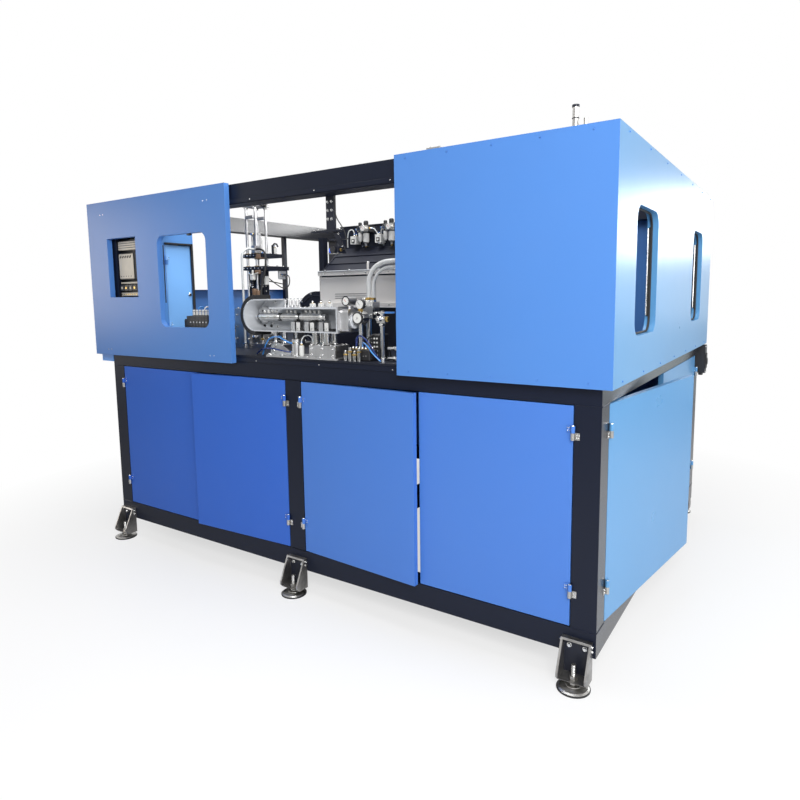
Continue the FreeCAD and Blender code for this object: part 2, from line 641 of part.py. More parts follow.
def hinged_door(number, hinge, side, facing, ajar, width):
    """A folded door that runs from its hinge to one side, with two lift-off hinges."""
    name = "Door%d" % number
    left = HALF_GAP if side > 0 else -HALF_GAP - width
    door = folded_panel(name, width, DOOR_HEIGHT, D.door_depth, D.door_sheet, left=left,
                        front=D.hinge_stand)
    turn = facing - ajar * side
    place(door, (hinge[0], hinge[1], DOOR_LOW), Z_AXIS, turn)
    fixed, moving = [], []
    for level_name, level in (("Low", D.hinge_low), ("High", D.hinge_high)):
        fixed.append(hinge_half(name + level_name + "Fixed", side, level, True))
        moving.append(hinge_half(name + level_name + "Moving", side, level, False))
    fixed_hinges.append(place(group(name + "Fixed", fixed), (hinge[0], hinge[1], UNDER),
                              Z_AXIS, facing))
    leaves = place(group(name + "Hinges", moving), (hinge[0], hinge[1], UNDER), Z_AXIS, turn)
    sub_part(fuse(name + "Hung", [door, leaves]), "door_%d" % number)


AJAR = {2: D.door2_ajar, 3: D.door3_ajar, 5: D.door5_ajar}
FRONT_HINGES = [(LEFT + D.tube + HALF_GAP, 1), (-HALF_TUBE - HALF_GAP, -1),
                (HALF_TUBE + HALF_GAP, 1), (RIGHT - D.tube - HALF_GAP, -1)]
for number, (x, side) in enumerate(FRONT_HINGES, start=1):
    hinged_door(number, (x, HINGE_FRONT), side, 0, AJAR.get(number, 0), FRONT_DOOR_WIDTH)
END_HINGES = [(FRONT + D.tube + HALF_GAP, 1), (BACK - D.tube - HALF_GAP, -1)]
for number, (y, side) in enumerate(END_HINGES, start=5):
    hinged_door(number, (RIGHT + D.hinge_stand, y), side, 90, AJAR.get(number, 0),
                END_DOOR_WIDTH)

INFILL_LOW = UNDER + D.tube
INFILL_HEIGHT = D.lower_height - D.tube - D.door_gap
infill_panels = []
for side, start in (("Left", RIGHT - D.tube), ("Right", -HALF_TUBE)):
    for half, name in enumerate(("Outer", "Inner")):
        sheet_name = "Rear" + side + name
        infill = folded_panel(sheet_name, FRONT_DOOR_WIDTH, INFILL_HEIGHT, D.door_depth,
                              D.door_sheet)
        x = start - D.door_gap - (FRONT_DOOR_WIDTH + D.door_gap) * half
        infill_panels.append(place(infill, (x, BACK, INFILL_LOW), Z_AXIS, 180))
for half, name in enumerate(("Back", "Front")):
    infill = folded_panel("Left" + name, END_DOOR_WIDTH, INFILL_HEIGHT, D.door_depth,
                          D.door_sheet)
    y = BACK - D.tube - D.door_gap - (END_DOOR_WIDTH + D.door_gap) * half
    infill_panels.append(place(infill, (LEFT, y, INFILL_LOW), Z_AXIS, -90))
sub_part(group("InfillPanels", infill_panels), "lower_infill_panels")


# ---------------------------------------------------------------- electrical cabinet

CABINET_RIGHT = DOOR_LEFT + D.cabinet_width
CABINET_FRONT = FRONT - D.cabinet_sheet
CABINET_BACK = FRONT + D.cabinet_depth


def cabinet_outline(inset):
    """The side that stands on the deck and the skirt that hangs beside it."""
    foot = LEFT - D.skirt_gap - inset
    low = DECK - D.cabinet_skirt + inset
    return [(DOOR_LEFT + inset, low), (foot, low), (foot, DECK + inset),
            (CABINET_RIGHT - inset, DECK + inset), (CABINET_RIGHT - inset, TOP_UNDER - inset),
            (DOOR_LEFT + inset, TOP_UNDER - inset)]


shell = prism("CabinetShell", "XZ_Plane", cabinet_outline(0), CABINET_BACK - CABINET_FRONT,
              backwards=True, offset=-CABINET_FRONT)
space = prism("CabinetSpace", "XZ_Plane", cabinet_outline(D.cabinet_sheet),
              D.cabinet_depth - D.cabinet_sheet, backwards=True, offset=-FRONT)
WINDOW_X = (DOOR_LEFT + D.controls_left - D.window_margin,
            DOOR_LEFT + D.controls_left + D.controls_width + D.window_margin)
WINDOW_Z = (PANEL_LOW + D.controls_low - D.window_margin,
            PANEL_LOW + D.controls_low + D.controls_height + D.window_margin)
window = block("CabinetWindow", WINDOW_X, (CABINET_FRONT, FRONT), WINDOW_Z)
HATCH_Y = (FRONT + D.hatch_front, FRONT + D.hatch_front + D.hatch_width)
HATCH_Z = (DECK + D.hatch_low, DECK + D.hatch_low + D.hatch_height)
hatch_way = block("HatchWay", (CABINET_RIGHT - D.cabinet_sheet, CABINET_RIGHT), HATCH_Y, HATCH_Z)
post_way = block("PostWay", (LEFT - D.post_play, LEFT + D.tube + D.post_play),
                 (FRONT, FRONT + D.tube + D.post_play), (DECK, TOP_UNDER))
sub_part(cut("Cabinet", shell, [space, window, hatch_way, post_way]), "cabinet")

PLATE_FRONT = FRONT + D.mount_plate_depth
PLATE_LEFT = DOOR_LEFT + D.mount_plate_inset
PLATE_RIGHT = CABINET_RIGHT - D.mount_plate_inset
plate = block("MountPlate", (PLATE_LEFT, PLATE_RIGHT),
              (PLATE_FRONT, PLATE_FRONT + D.cabinet_sheet),
              (DECK + D.mount_plate_inset, TOP_UNDER - D.mount_plate_inset))
plate_studs = [rod("PlateStud%d%d" % (column, row), "y",
                   (x, PLATE_FRONT + D.cabinet_sheet, z), D.plate_stud_radius,
                   CABINET_BACK - PLATE_FRONT - D.cabinet_sheet * 2)
               for column, x in enumerate((PLATE_LEFT + D.mount_plate_inset,
                                           PLATE_RIGHT - D.mount_plate_inset))
               for row, z in enumerate((DECK + D.mount_plate_inset * 2,
                                        TOP_UNDER - D.mount_plate_inset * 2))]

# Rows of switchgear on rails: how far each stands above the deck, its height, reach and widths.
DEVICE_ROWS = [
    (D.row1_level, D.row1_height, D.breaker_reach, 7, D.breaker_width),
    (D.row2_level, D.row2_height, D.drive_reach, 2, D.drive_width),
    (D.row3_level, D.row3_height, D.breaker_reach, 5, D.contactor_width),
    (D.row4_level, D.row4_height, D.breaker_reach, 8, D.breaker_width),
]
din_rails, devices = [], []
for row, (level, high, reach, count, width) in enumerate(DEVICE_ROWS):
    middle = DECK + level + high / 2
    back = PLATE_FRONT - D.rail_reach
    din_rails.append(block("DinRail%d" % row,
                           (PLATE_LEFT + D.rail_inset, PLATE_RIGHT - D.rail_inset),
                           (back, PLATE_FRONT),
                           (middle - D.din_height / 2, middle + D.din_height / 2)))
    for number in range(count):
        start = PLATE_LEFT + D.device_start + (width + D.device_gap) * number
        body = block("Device%d%d" % (row, number), (start, start + width),
                     (back - reach, back), (DECK + level, DECK + level + high))
        if row == 1:
            body = soften("Drive%d" % number, body, Y_AXIS, D.drive_corner)
        devices.append(body)
sub_part(fuse("MountPlateStuds", [plate] + plate_studs + din_rails), "mount_plate")
sub_part(group("Devices", devices), "switchgear")

HATCH_HINGE = (CABINET_RIGHT + D.hinge_stand, FRONT + D.hatch_front + D.hatch_gap / 2)
hatch = folded_panel("Hatch", D.hatch_width - D.hatch_gap * 2, D.hatch_height - D.hatch_gap * 2,
                     D.hatch_depth, D.panel_sheet, left=D.hatch_gap / 2, front=D.hinge_stand)
place(hatch, (HATCH_HINGE[0], HATCH_HINGE[1], HATCH_Z[0] + D.hatch_gap), Z_AXIS, 90)
hatch_hinges = {True: [], False: []}
for level_name, level in (("Low", D.hatch_hinge_inset),
                          ("High", D.hatch_height - D.hatch_hinge_inset)):
    for fixed, halves in hatch_hinges.items():
        halves.append(hinge_half("Hatch%s%s" % (level_name, fixed), 1, level, fixed))
hatch_pairs = [place(group("HatchHinges%s" % fixed, halves),
                     (HATCH_HINGE[0], HATCH_HINGE[1], HATCH_Z[0]), Z_AXIS, 90)
               for fixed, halves in hatch_hinges.items()]
sub_part(group("FixedHinges", fixed_hinges + [hatch_pairs[0]]), "fixed_hinges")
sub_part(fuse("HatchHung", [hatch, hatch_pairs[1]]), "cabinet_hatch")


# ---------------------------------------------------------------- oven, hood and valve board

OVEN_X = (LEFT + D.oven_left, LEFT + D.oven_left + D.oven_length)
OVEN_FRONT = FRONT + D.oven_front
OVEN_BACK = OVEN_FRONT + D.oven_depth
OVEN_LOW = DECK + D.oven_low
OVEN_TOP = OVEN_LOW + D.oven_height
HOOD_TOP = OVEN_TOP + D.hood_rise
oven_case = block("OvenCase", OVEN_X, (OVEN_FRONT, OVEN_BACK), (OVEN_LOW, OVEN_TOP))
lips = [block("OvenLip%d" % number, (OVEN_X[0] - D.oven_lip_proud, OVEN_X[1]),
              (OVEN_FRONT - D.oven_lip_proud, OVEN_FRONT), (low, low + D.oven_lip))
        for number, low in enumerate((OVEN_LOW, OVEN_TOP - D.oven_lip))]
end_frame = block("OvenEndFrame", (OVEN_X[0] - D.oven_lip_proud, OVEN_X[0]),
                  (OVEN_FRONT, OVEN_BACK), (OVEN_LOW, OVEN_TOP))
sub_part(fuse("Oven", [oven_case, end_frame] + lips), "oven")
hood = prism("Hood", "YZ_Plane", [
    (OVEN_FRONT, OVEN_TOP), (OVEN_FRONT + D.hood_run, HOOD_TOP), (OVEN_BACK, HOOD_TOP),
    (OVEN_BACK, OVEN_TOP)], D.oven_length, offset=OVEN_X[0])
sub_part(hood, "oven_hood")
stand_x = (OVEN_X[0] + D.stand_inset, OVEN_X[1] - D.stand_inset)
stand = block("StandBlock", stand_x, (OVEN_FRONT + D.stand_inset, OVEN_BACK - D.stand_inset),
              (DECK, OVEN_LOW))
POST_RIGHT = OVEN_X[0] - D.oven_lip_proud
hood_post = block("HoodPost", (POST_RIGHT - D.hood_post_width, POST_RIGHT),
                  (OVEN_FRONT + D.stand_inset, OVEN_FRONT + D.stand_inset + D.hood_post_depth),
                  (OVEN_LOW, HOOD_TOP + D.hood_post_rise))
sub_part(group("OvenStand", [stand, hood_post]), "oven_stand")
BOARD_FRONT = OVEN_FRONT + D.hood_run
board = block("ValveBoard", OVEN_X, (BOARD_FRONT, BOARD_FRONT + D.board_thickness),
              (HOOD_TOP, HOOD_TOP + D.board_height))
sub_part(board, "valve_board")


def regulator(number):
    """An air filter and regulator: body, bowl and a stem for its knob."""
    x = OVEN_X[0] + D.regulator_first + D.regulator_pitch * number
    y = BOARD_FRONT - D.regulator_reach
    middle = HOOD_TOP + D.regulator_level
    name = "Regulator%d" % number
    body = block(name + "Body", (x - D.regulator_half, x + D.regulator_half),
                 (y - D.regulator_radius, BOARD_FRONT), (middle, middle + D.regulator_height))
    bowl = place(revolved(name + "Bowl", [
        (0, 0), (D.regulator_radius * 0.35, 0), (D.regulator_radius * 0.45, D.bowl_height * 0.15),
        (D.regulator_radius * 0.8, D.bowl_height * 0.3), (D.regulator_radius * 0.8, D.bowl_height),
        (0, D.bowl_height)]), (x, y, middle - D.bowl_height))
    stem = rod(name + "Stem", "z", (x, y, middle + D.regulator_height), D.stem_radius, D.stem_height)
    knob_base = middle + D.regulator_height + D.slide_play
    knob_solid = place(revolved(name + "Knob", [
        (0, 0), (D.knob_radius, 0), (D.knob_radius, D.knob_height * 0.85),
        (D.knob_radius * 0.8, D.knob_height), (0, D.knob_height)]), (x, y, knob_base))
    bore = rod(name + "KnobBore", "z", (x, y, knob_base), D.stem_radius + D.bore_play,
               D.stem_height)
    sub_part(cut(name + "KnobTurned", knob_solid, [bore]), "regulator_knob_%d" % (number + 1))
    gauge_y = y - D.regulator_radius
    gauge = rod(name + "Gauge", "y", (x, gauge_y - D.gauge_depth, middle + D.regulator_height / 2),
                D.gauge_radius, D.gauge_depth)
    return fuse(name, [body, bowl, stem]), gauge


regulators, gauges = zip(*[regulator(number) for number in range(2)])
sub_part(group("Regulators", list(regulators)), "regulators")
sub_part(group("Gauges", list(gauges)), "pressure_gauges")
valve_boxes = []
for number in range(4):
    x = OVEN_X[0] + D.valve_box_first + D.regulator_pitch * number
    valve_boxes.append(block("ValveBox%d" % number, (x, x + D.valve_box_width),
                             (BOARD_FRONT - D.valve_box_depth, BOARD_FRONT),
                             (HOOD_TOP + D.valve_box_level, HOOD_TOP + D.valve_box_level
                              + D.valve_box_height)))
TERMINAL = (LEFT + D.terminal_left, FRONT + D.terminal_front, DECK + D.terminal_low)
TERMINAL_RIGHT = TERMINAL[0] + D.terminal_width
TERMINAL_TOP = TERMINAL[2] + D.terminal_height
terminal_y = (TERMINAL[1], TERMINAL[1] + D.terminal_depth)
terminal_base = block("TerminalBase", (TERMINAL[0], TERMINAL_RIGHT), terminal_y,
                      (TERMINAL[2], TERMINAL_TOP - D.terminal_step))
terminal_valves = block("TerminalValves", (TERMINAL[0] + D.terminal_step, TERMINAL_RIGHT),
                        terminal_y, (TERMINAL[2], TERMINAL_TOP))
terminal_foot = block("TerminalFoot", (TERMINAL[0], TERMINAL_RIGHT), terminal_y,
                      (DECK, DECK + D.terminal_leg))
terminal_legs = [block("TerminalLeg%d" % number, (x, x + D.terminal_leg), terminal_y,
                       (DECK, TERMINAL[2]))
                 for number, x in enumerate((TERMINAL[0], TERMINAL_RIGHT - D.terminal_leg))]
plugs = [rod("TerminalPlug%d" % number, "z",
             (TERMINAL_RIGHT - D.plug_pitch * (number + 0.5),
              TERMINAL[1] + D.terminal_depth * 0.4, TERMINAL_TOP), D.plug_radius, D.plug_height)
         for number in range(6)]
terminal = fuse("Terminal", [terminal_base, terminal_valves, terminal_foot]
                + terminal_legs + plugs)
sub_part(group("ValveBoxes", valve_boxes + [terminal]), "valve_boxes")

BLOWER = (LEFT + D.blower_x, FRONT + D.blower_front, DECK + D.blower_axis)
drum = rod("BlowerDrum", "y", BLOWER, D.blower_radius, D.blower_depth)
outlet = block("BlowerOutlet", (BLOWER[0], OVEN_X[0] + D.stand_inset * 4),
               (BLOWER[1], BLOWER[1] + D.blower_depth), (DECK, DECK + D.outlet_height))
below = block("BelowDeck", (BLOWER[0] - D.blower_radius, BLOWER[0] + D.blower_radius),
              (BLOWER[1], BLOWER[1] + D.blower_depth), (DECK - D.blower_radius, DECK))
sub_part(cut("Blower", fuse("BlowerSolid", [drum, outlet]), [below]), "blower")


# ---------------------------------------------------------------- clamp and mould

TX, TY = LEFT + D.tower_x, FRONT + D.tower_y
BED_TOP = DECK + D.bed_thickness
RAIL_TOP = BED_TOP + D.rail_height
MOULD_LOW = RAIL_TOP + D.slide_play
MOULD_TOP = MOULD_LOW + D.mould_height
BRIDGE_TOP = DECK + D.bridge_top
BRIDGE_UNDER = BRIDGE_TOP - D.bridge_thickness
bed = block("ClampBed", (TX - D.bed_half_x, TX + D.bed_half_x),
            (TY - D.bed_half_y, TY + D.bed_half_y), (DECK, BED_TOP))
RAIL_REACH = D.bed_half_x - D.clamp_length
rails = [block("MouldRail%d" % row, (TX - RAIL_REACH, TX + RAIL_REACH),
               (y - D.rail_width / 2, y + D.rail_width / 2), (BED_TOP, RAIL_TOP))
         for row, y in enumerate((TY - D.rail_spread / 2, TY + D.rail_spread / 2))]
ROD_LEVEL = BED_TOP + D.clamp_size / 2 + D.rail_height
barrels = []
for side, label in ((-1, "left"), (1, "right")):
    inner, outer = TX + D.mould_split / 2 * side, TX + (D.mould_split / 2 + D.mould_width) * side
    low, high = (outer, inner) if side < 0 else (inner, outer)
    half = block("Mould" + label, (low, high), (TY - D.mould_depth / 2, TY + D.mould_depth / 2),
                 (MOULD_LOW, MOULD_TOP))
    cavity = rod("Cavity" + label, "z", (TX, TY, MOULD_LOW + D.mould_height * 0.12),
                 D.cavity_radius, D.mould_height * 0.7)
    neck = rod("Neck" + label, "z", (TX, TY, MOULD_LOW + D.mould_height * 0.5),
               D.cavity_radius * 0.45, D.mould_height)
    half = cut("MouldHalf" + label, half, [fuse("CavityNeck" + label, [cavity, neck])])
    back = outer + D.platen_thickness * side
    low, high = (back, outer) if side < 0 else (outer, back)
    platen = block("Platen" + label, (low, high), (TY - D.mould_depth / 2, TY + D.mould_depth / 2),
                   (MOULD_LOW, MOULD_TOP))
    length = D.clamp_travel * 2
    start = back - length if side < 0 else back
    clamp_rod = rod("ClampRod" + label, "x", (start, TY, ROD_LEVEL), D.clamp_rod_radius, length)
    platen = fuse("PlatenRod" + label, [platen, clamp_rod])
    sub_part(group("MouldUnit" + label, [half, platen]), "mould_" + label)
    end = TX + D.bed_half_x * side
    mouth = end - D.clamp_length * side
    low, high = (end, mouth) if side < 0 else (mouth, end)
    barrel = block("ClampBarrel" + label, (low, high), (TY - D.clamp_size / 2, TY + D.clamp_size / 2),
                   (BED_TOP, BED_TOP + D.clamp_size + D.rail_height))
    depth = D.clamp_length - D.cylinder_floor
    start = mouth - depth if side < 0 else mouth
    bore = rod("ClampBore" + label, "x", (start, TY, ROD_LEVEL), D.clamp_rod_radius + D.bore_play,
               depth)
    barrels.append(cut("ClampCylinder" + label, barrel, [bore]))
sub_part(group("ClampFrame", [bed] + rails + barrels), "clamp_frame")


# ---------------------------------------------------------------- tower over the mould

CHEEK_Y = D.bed_half_y - D.cheek_thickness
cheeks = [block("Cheek%d" % number, (TX - D.bridge_half, TX + D.bridge_half),
                (TY + low, TY + low + D.cheek_thickness), (BED_TOP, BRIDGE_UNDER))
          for number, low in enumerate((-D.bed_half_y, CHEEK_Y))]
bridge_plate = block("BridgePlate", (TX - D.bridge_half, TX + D.bridge_half),
                     (TY - D.bed_half_y, TY + D.bed_half_y), (BRIDGE_UNDER, BRIDGE_TOP))
way = rod("BridgeWay", "z", (TX, TY, BRIDGE_UNDER), D.cavity_radius, D.bridge_thickness)
bridge = fuse("Bridge", cheeks + [cut("BridgeHoled", bridge_plate, [way])])
ROD_PLACES = [(TX + D.rod_spread_x / 2 * i, TY + D.rod_spread_y / 2 * j)
              for i in (-1, 1) for j in (-1, 1)]
TOP_PLATE_LOW = DECK + D.top_plate_low
tie_rods = [rod("TieRod%d" % number, "z", (x, y, BRIDGE_TOP), D.rod_radius,
                TOP_PLATE_LOW - BRIDGE_TOP) for number, (x, y) in enumerate(ROD_PLACES)]
top_plate = block("TopPlate", (TX - D.top_plate_half, TX + D.top_plate_half),
                  (TY - D.top_plate_half, TY + D.top_plate_half),
                  (TOP_PLATE_LOW, TOP_PLATE_LOW + D.top_plate_thickness))
caps = [rod("RodCap%d" % number, "z", (x, y, TOP_PLATE_LOW + D.top_plate_thickness),
            D.rod_radius * 1.4, D.rod_radius * 1.6) for number, (x, y) in enumerate(ROD_PLACES)]
piston_rod = rod("PistonRod", "z", (TX, TY, DECK + D.cylinder_rod_end), D.rod_radius,
                 TOP_PLATE_LOW - DECK - D.cylinder_rod_end)
top_unit = fuse("TopUnit", [top_plate, piston_rod] + caps)
CLIP = (*ROD_PLACES[2], DECK + D.clip_level)
CLIP_FRONT = CLIP[1] - D.clip_half * 2
clip = block("ClipSolid", (CLIP[0] - D.clip_half, CLIP[0] + D.clip_half),
             (CLIP_FRONT, CLIP[1] + D.clip_half), (CLIP[2], CLIP[2] + D.clip_height))
clip = cut("Clip", clip, [rod("ClipBore", "z", CLIP, D.rod_radius, D.clip_height)])
HOSE_GLAND = (CLIP[0], CLIP_FRONT - D.hose_reach, DECK)
CABLE_GLAND = (TX + D.cable_gland, FRONT + D.cable_front, BED_TOP)
glands = [rod("HoseGland%d" % number, "z", place, D.gland_radius, D.gland_height)
          for number, place in enumerate((HOSE_GLAND, CABLE_GLAND))]
sub_part(group("TowerFrame", [bridge, top_unit, clip] + tie_rods + glands), "tower_frame")


def guided_plate(name, reach, low):
    """A plate with running bores for the four tie rods and the stretch pin."""
    plate = block(name + "Solid", (TX - D.bridge_half, TX + reach[0]),
                  (TY - reach[1], TY + reach[2]), (low, low + D.plate_thickness))
    bores = [rod(name + "Bore%d" % number, "z", (x, y, low), D.rod_radius + D.bore_play,
                 D.plate_thickness) for number, (x, y) in enumerate(ROD_PLACES)]
    return plate, bores


STRETCH_LOW = DECK + D.stretch_plate_low
stretch_plate, bores = guided_plate("StretchPlate",
                                    (D.stretch_reach_x, D.stretch_half, D.stretch_reach_y),
                                    STRETCH_LOW)
PIN_LOW = DECK + D.stretch_pin_end
stretch_pin = rod("StretchPin", "z", (TX, TY, PIN_LOW), D.stretch_pin_radius,
                  STRETCH_LOW - PIN_LOW)
sub_part(fuse("StretchUnit", [cut("StretchPlate", stretch_plate, bores), stretch_pin]),
         "stretch_plate")
CYLINDER_LOW = STRETCH_LOW + D.plate_thickness
tube_solid = place(revolved("StretchCylinder", [
    (0, 0), (D.cylinder_radius * 1.15, 0), (D.cylinder_radius * 1.15, D.cylinder_cap),
    (D.cylinder_radius, D.cylinder_cap), (D.cylinder_radius, D.cylinder_height - D.cylinder_cap),
    (D.cylinder_radius * 1.15, D.cylinder_height - D.cylinder_cap),
    (D.cylinder_radius * 1.15, D.cylinder_height), (0, D.cylinder_height)]),
    (TX, TY, CYLINDER_LOW))
piston_bore = rod("PistonBore", "z", (TX, TY, CYLINDER_LOW + D.cylinder_floor),
                  D.rod_radius + D.bore_play, D.cylinder_height)
sub_part(cut("StretchCylinderBored", tube_solid, [piston_bore]), "stretch_cylinder")

SEAL_LOW = DECK + D.seal_plate_low
seal_plate, bores = guided_plate("SealPlate", (D.seal_reach_x, D.seal_half, D.seal_reach_y),
                                 SEAL_LOW)
pin_bore = rod("PinBore", "z", (TX, TY, SEAL_LOW - D.head_block_drop),
               D.stretch_pin_radius + D.bore_play, D.head_block_drop + D.plate_thickness)
seal_plate = cut("SealPlate", seal_plate, bores + [pin_bore])
head = block("HeadBlock", (TX - D.head_left, TX + D.head_right),
             (TY - D.head_half, TY + D.head_half), (SEAL_LOW - D.head_block_drop, SEAL_LOW))
waist = block("HeadWaist", (TX - D.head_left, TX + D.head_right),
              (TY - D.head_half, TY - D.head_half + D.head_step),
              (SEAL_LOW - D.head_block_drop + D.head_step,
               SEAL_LOW - D.head_block_drop * 0.42))
nose_bore = rod("HeadBore", "z", (TX, TY, SEAL_LOW - D.head_block_drop),
                D.stretch_pin_radius + D.bore_play, D.head_block_drop)
head = cut("HeadCut", head, [waist, nose_bore])
head_cylinders = [rod("HeadCylinder%d" % number, "z",
                      (TX + offset, TY - D.head_half - D.head_cylinder_radius,
                       SEAL_LOW - D.head_cylinder_height), D.head_cylinder_radius,
                      D.head_cylinder_height)
                  for number, offset in enumerate((D.head_cylinder_first,
                                                   D.head_cylinder_first
                                                   + D.head_cylinder_pitch))]
sub_part(group("SealHead", [seal_plate, head] + head_cylinders), "seal_head")


# ---------------------------------------------------------------- preform transfer

TRAY_X = (LEFT + D.tray_left, LEFT + D.tray_right)
TRAY_FRONT = FRONT + D.tray_front
TRAY_BACK = TRAY_FRONT + D.tray_depth
TRAY_LOW = DECK + D.tray_low
TRAY_TOP = TRAY_LOW + D.tray_height
TRAY_RADIUS = D.tray_height / 2
TRAY_BEND = (TRAY_X[0] + TRAY_RADIUS, TRAY_LOW + TRAY_RADIUS)


def half_round(sketch, inset, right):
    """An outline with a round left end and a square right end."""
    radius = TRAY_RADIUS - inset
    x, z, r = value_of(TRAY_BEND[0]), value_of(TRAY_BEND[1]), value_of(radius)
    x1 = value_of(right)
    corners = [Vector(x, z - r, 0), Vector(x1, z - r, 0), Vector(x1, z + r, 0), Vector(x, z + r, 0)]
    for start, end in zip(corners, corners[1:]):
        sketch.addGeometry(Part.LineSegment(start, end), False)
    circle = Part.Circle(Vector(x, z, 0), Z_AXIS, r)
    sketch.addGeometry(Part.ArcOfCircle(circle, math.pi / 2, math.pi * 1.5), False)
    for line in (0, 1):
        sketch.addConstraint(Sketcher.Constraint("Coincident", line, 2, line + 1, 1))
    sketch.addConstraint(Sketcher.Constraint("Tangent", 2, 2, 3, 1))
    sketch.addConstraint(Sketcher.Constraint("Tangent", 3, 2, 0, 1))
    sketch.addConstraint(Sketcher.Constraint("Horizontal", 0))
    sketch.addConstraint(Sketcher.Constraint("Vertical", 1))
    pin_point(sketch, 1, 1, right, TRAY_BEND[1] - radius)
    pin_point(sketch, 2, 1, None, TRAY_BEND[1] + radius)
    pin_point(sketch, 3, 3, TRAY_BEND[0], None)


tray_body = new_body("Tray")
outline = sketch_on(tray_body, "XZ_Plane", "TrayOutline", -TRAY_FRONT)
half_round(outline, 0, TRAY_X[1])
pad(tray_body, outline, D.tray_depth, backwards=True)
hollow = sketch_on(tray_body, "XZ_Plane", "TrayHollow", -TRAY_FRONT)
half_round(hollow, D.tray_wall, TRAY_X[1] - D.tray_wall)
pocket(tray_body, hollow, D.tray_depth - D.tray_wall)
step = block("TrayStep", (LEFT + D.tray_step_left, TRAY_X[1]), (TRAY_FRONT, TRAY_BACK),
             (TRAY_TOP - D.tray_step, TRAY_TOP))
SHELF_TOP = TRAY_TOP - D.tray_step
shelf = block("TrayShelf", (LEFT + D.tray_step_left, TRAY_X[1]), (TRAY_FRONT, TRAY_BACK),
              (SHELF_TOP - D.tray_wall, SHELF_TOP))
sub_part(fuse("TransferTray", [cut("TrayStepped", tray_body, [step]), shelf]), "transfer_tray")
ring = rod("BeltOutside", "y", (TRAY_BEND[0], TRAY_FRONT, TRAY_BEND[1]), TRAY_RADIUS + D.belt,
           D.tray_depth)
inside = rod("BeltInside", "y", (TRAY_BEND[0], TRAY_FRONT, TRAY_BEND[1]), TRAY_RADIUS,
             D.tray_depth)
right_half = block("BeltRight", (TRAY_BEND[0], TRAY_BEND[0] + TRAY_RADIUS + D.belt),
                   (TRAY_FRONT, TRAY_BACK),
                   (TRAY_LOW - D.belt, TRAY_TOP + D.belt))
sub_part(cut("Belt", ring, [inside, right_half]), "transfer_belt")
end_plate = block("TrayEnd", (TRAY_X[1], TRAY_X[1] + D.bed_plate), (TRAY_FRONT, TRAY_BACK),
                  (TRAY_LOW, SHELF_TOP + D.tray_wall))
MOTOR_X = TRAY_X[1] + D.bed_plate
motor = block("TransferMotor", (MOTOR_X, MOTOR_X + D.motor_length),
              (TRAY_FRONT + D.motor_inset, TRAY_BACK - D.motor_inset),
              (TRAY_LOW + D.tray_wall, SHELF_TOP - D.tray_wall))
motor = soften("TransferMotorCase", motor, X_AXIS, D.motor_inset)

BAR_Y = TRAY_FRONT + D.tray_depth / 2
BAR_Z = DECK + D.bar_level
BAR_X = TRAY_X[0] + D.bar_start
bar_outline = [(0, 0), (D.bar_radius, 0)]
along = D.bar_neck
for length in (D.barrel_long, D.barrel_short, D.barrel_long):
    bar_outline += [(D.bar_radius, along), (D.barrel_radius, along),
                    (D.barrel_radius, along + length), (D.bar_radius, along + length)]
    along = along + length + D.bar_neck
bar_outline += [(D.bar_radius, along), (0, along)]
gripper_bar = place(revolved("GripperBar", bar_outline), (BAR_X, BAR_Y, BAR_Z), Y_AXIS, 90)
sub_part(gripper_bar, "gripper_bar")
seats = [block("BarSeat%d" % number, (x, x + D.seat_width),
               (BAR_Y - D.seat_depth, BAR_Y + D.seat_depth),
               (TRAY_LOW + D.tray_wall, BAR_Z - D.barrel_radius - D.slide_play))
         for number, x in enumerate([BAR_X + D.seat_first + D.seat_pitch * n for n in range(3)])]
PULLEY = (TRAY_X[0] + D.pulley_inset, BAR_Y + D.seat_depth, TRAY_BEND[1])
pulley = rod("Pulley", "y", PULLEY, D.pulley_radius,
             D.tray_depth / 2 - D.seat_depth - D.tray_wall)
legs = [rod("TrayLeg%d" % number, "z", (TRAY_X[0] + x, BAR_Y, TRAY_LOW - D.leg_length),
            D.leg_radius, D.leg_length)
        for number, x in enumerate((D.leg_first, D.leg_first + D.leg_pitch))]
sight = rod("SightGlass", "y", (MOTOR_X + D.motor_length / 2, BAR_Y - D.seat_depth,
                                DECK + D.gauge_stand_level), D.gauge_stand_radius,
            D.seat_depth * 2)
sight_stem = rod("SightStem", "z", (MOTOR_X + D.motor_length / 2, BAR_Y,
                                    SHELF_TOP - D.tray_wall), D.lift_rod_radius,
                 DECK + D.gauge_stand_level - SHELF_TOP + D.tray_wall)
sight = fuse("Sight", [sight, sight_stem])
spindles = []
for number in range(5):
    x = LEFT + D.tray_step_left + D.spindle_first + D.spindle_pitch * number
    spindle = revolved("Spindle%d" % number, [
        (0, 0), (D.spindle_radius, 0), (D.spindle_radius, D.spindle_height * 0.3),
        (D.spindle_radius * 0.6, D.spindle_height * 0.35),
        (D.spindle_radius * 0.6, D.spindle_height * 0.9), (0, D.spindle_height)])
    spindles.append(place(spindle, (x, TRAY_BACK - D.motor_inset, SHELF_TOP)))
fittings = [end_plate, motor, pulley, sight] + seats + legs + spindles
sub_part(group("TransferFittings", fittings), "transfer_fittings")

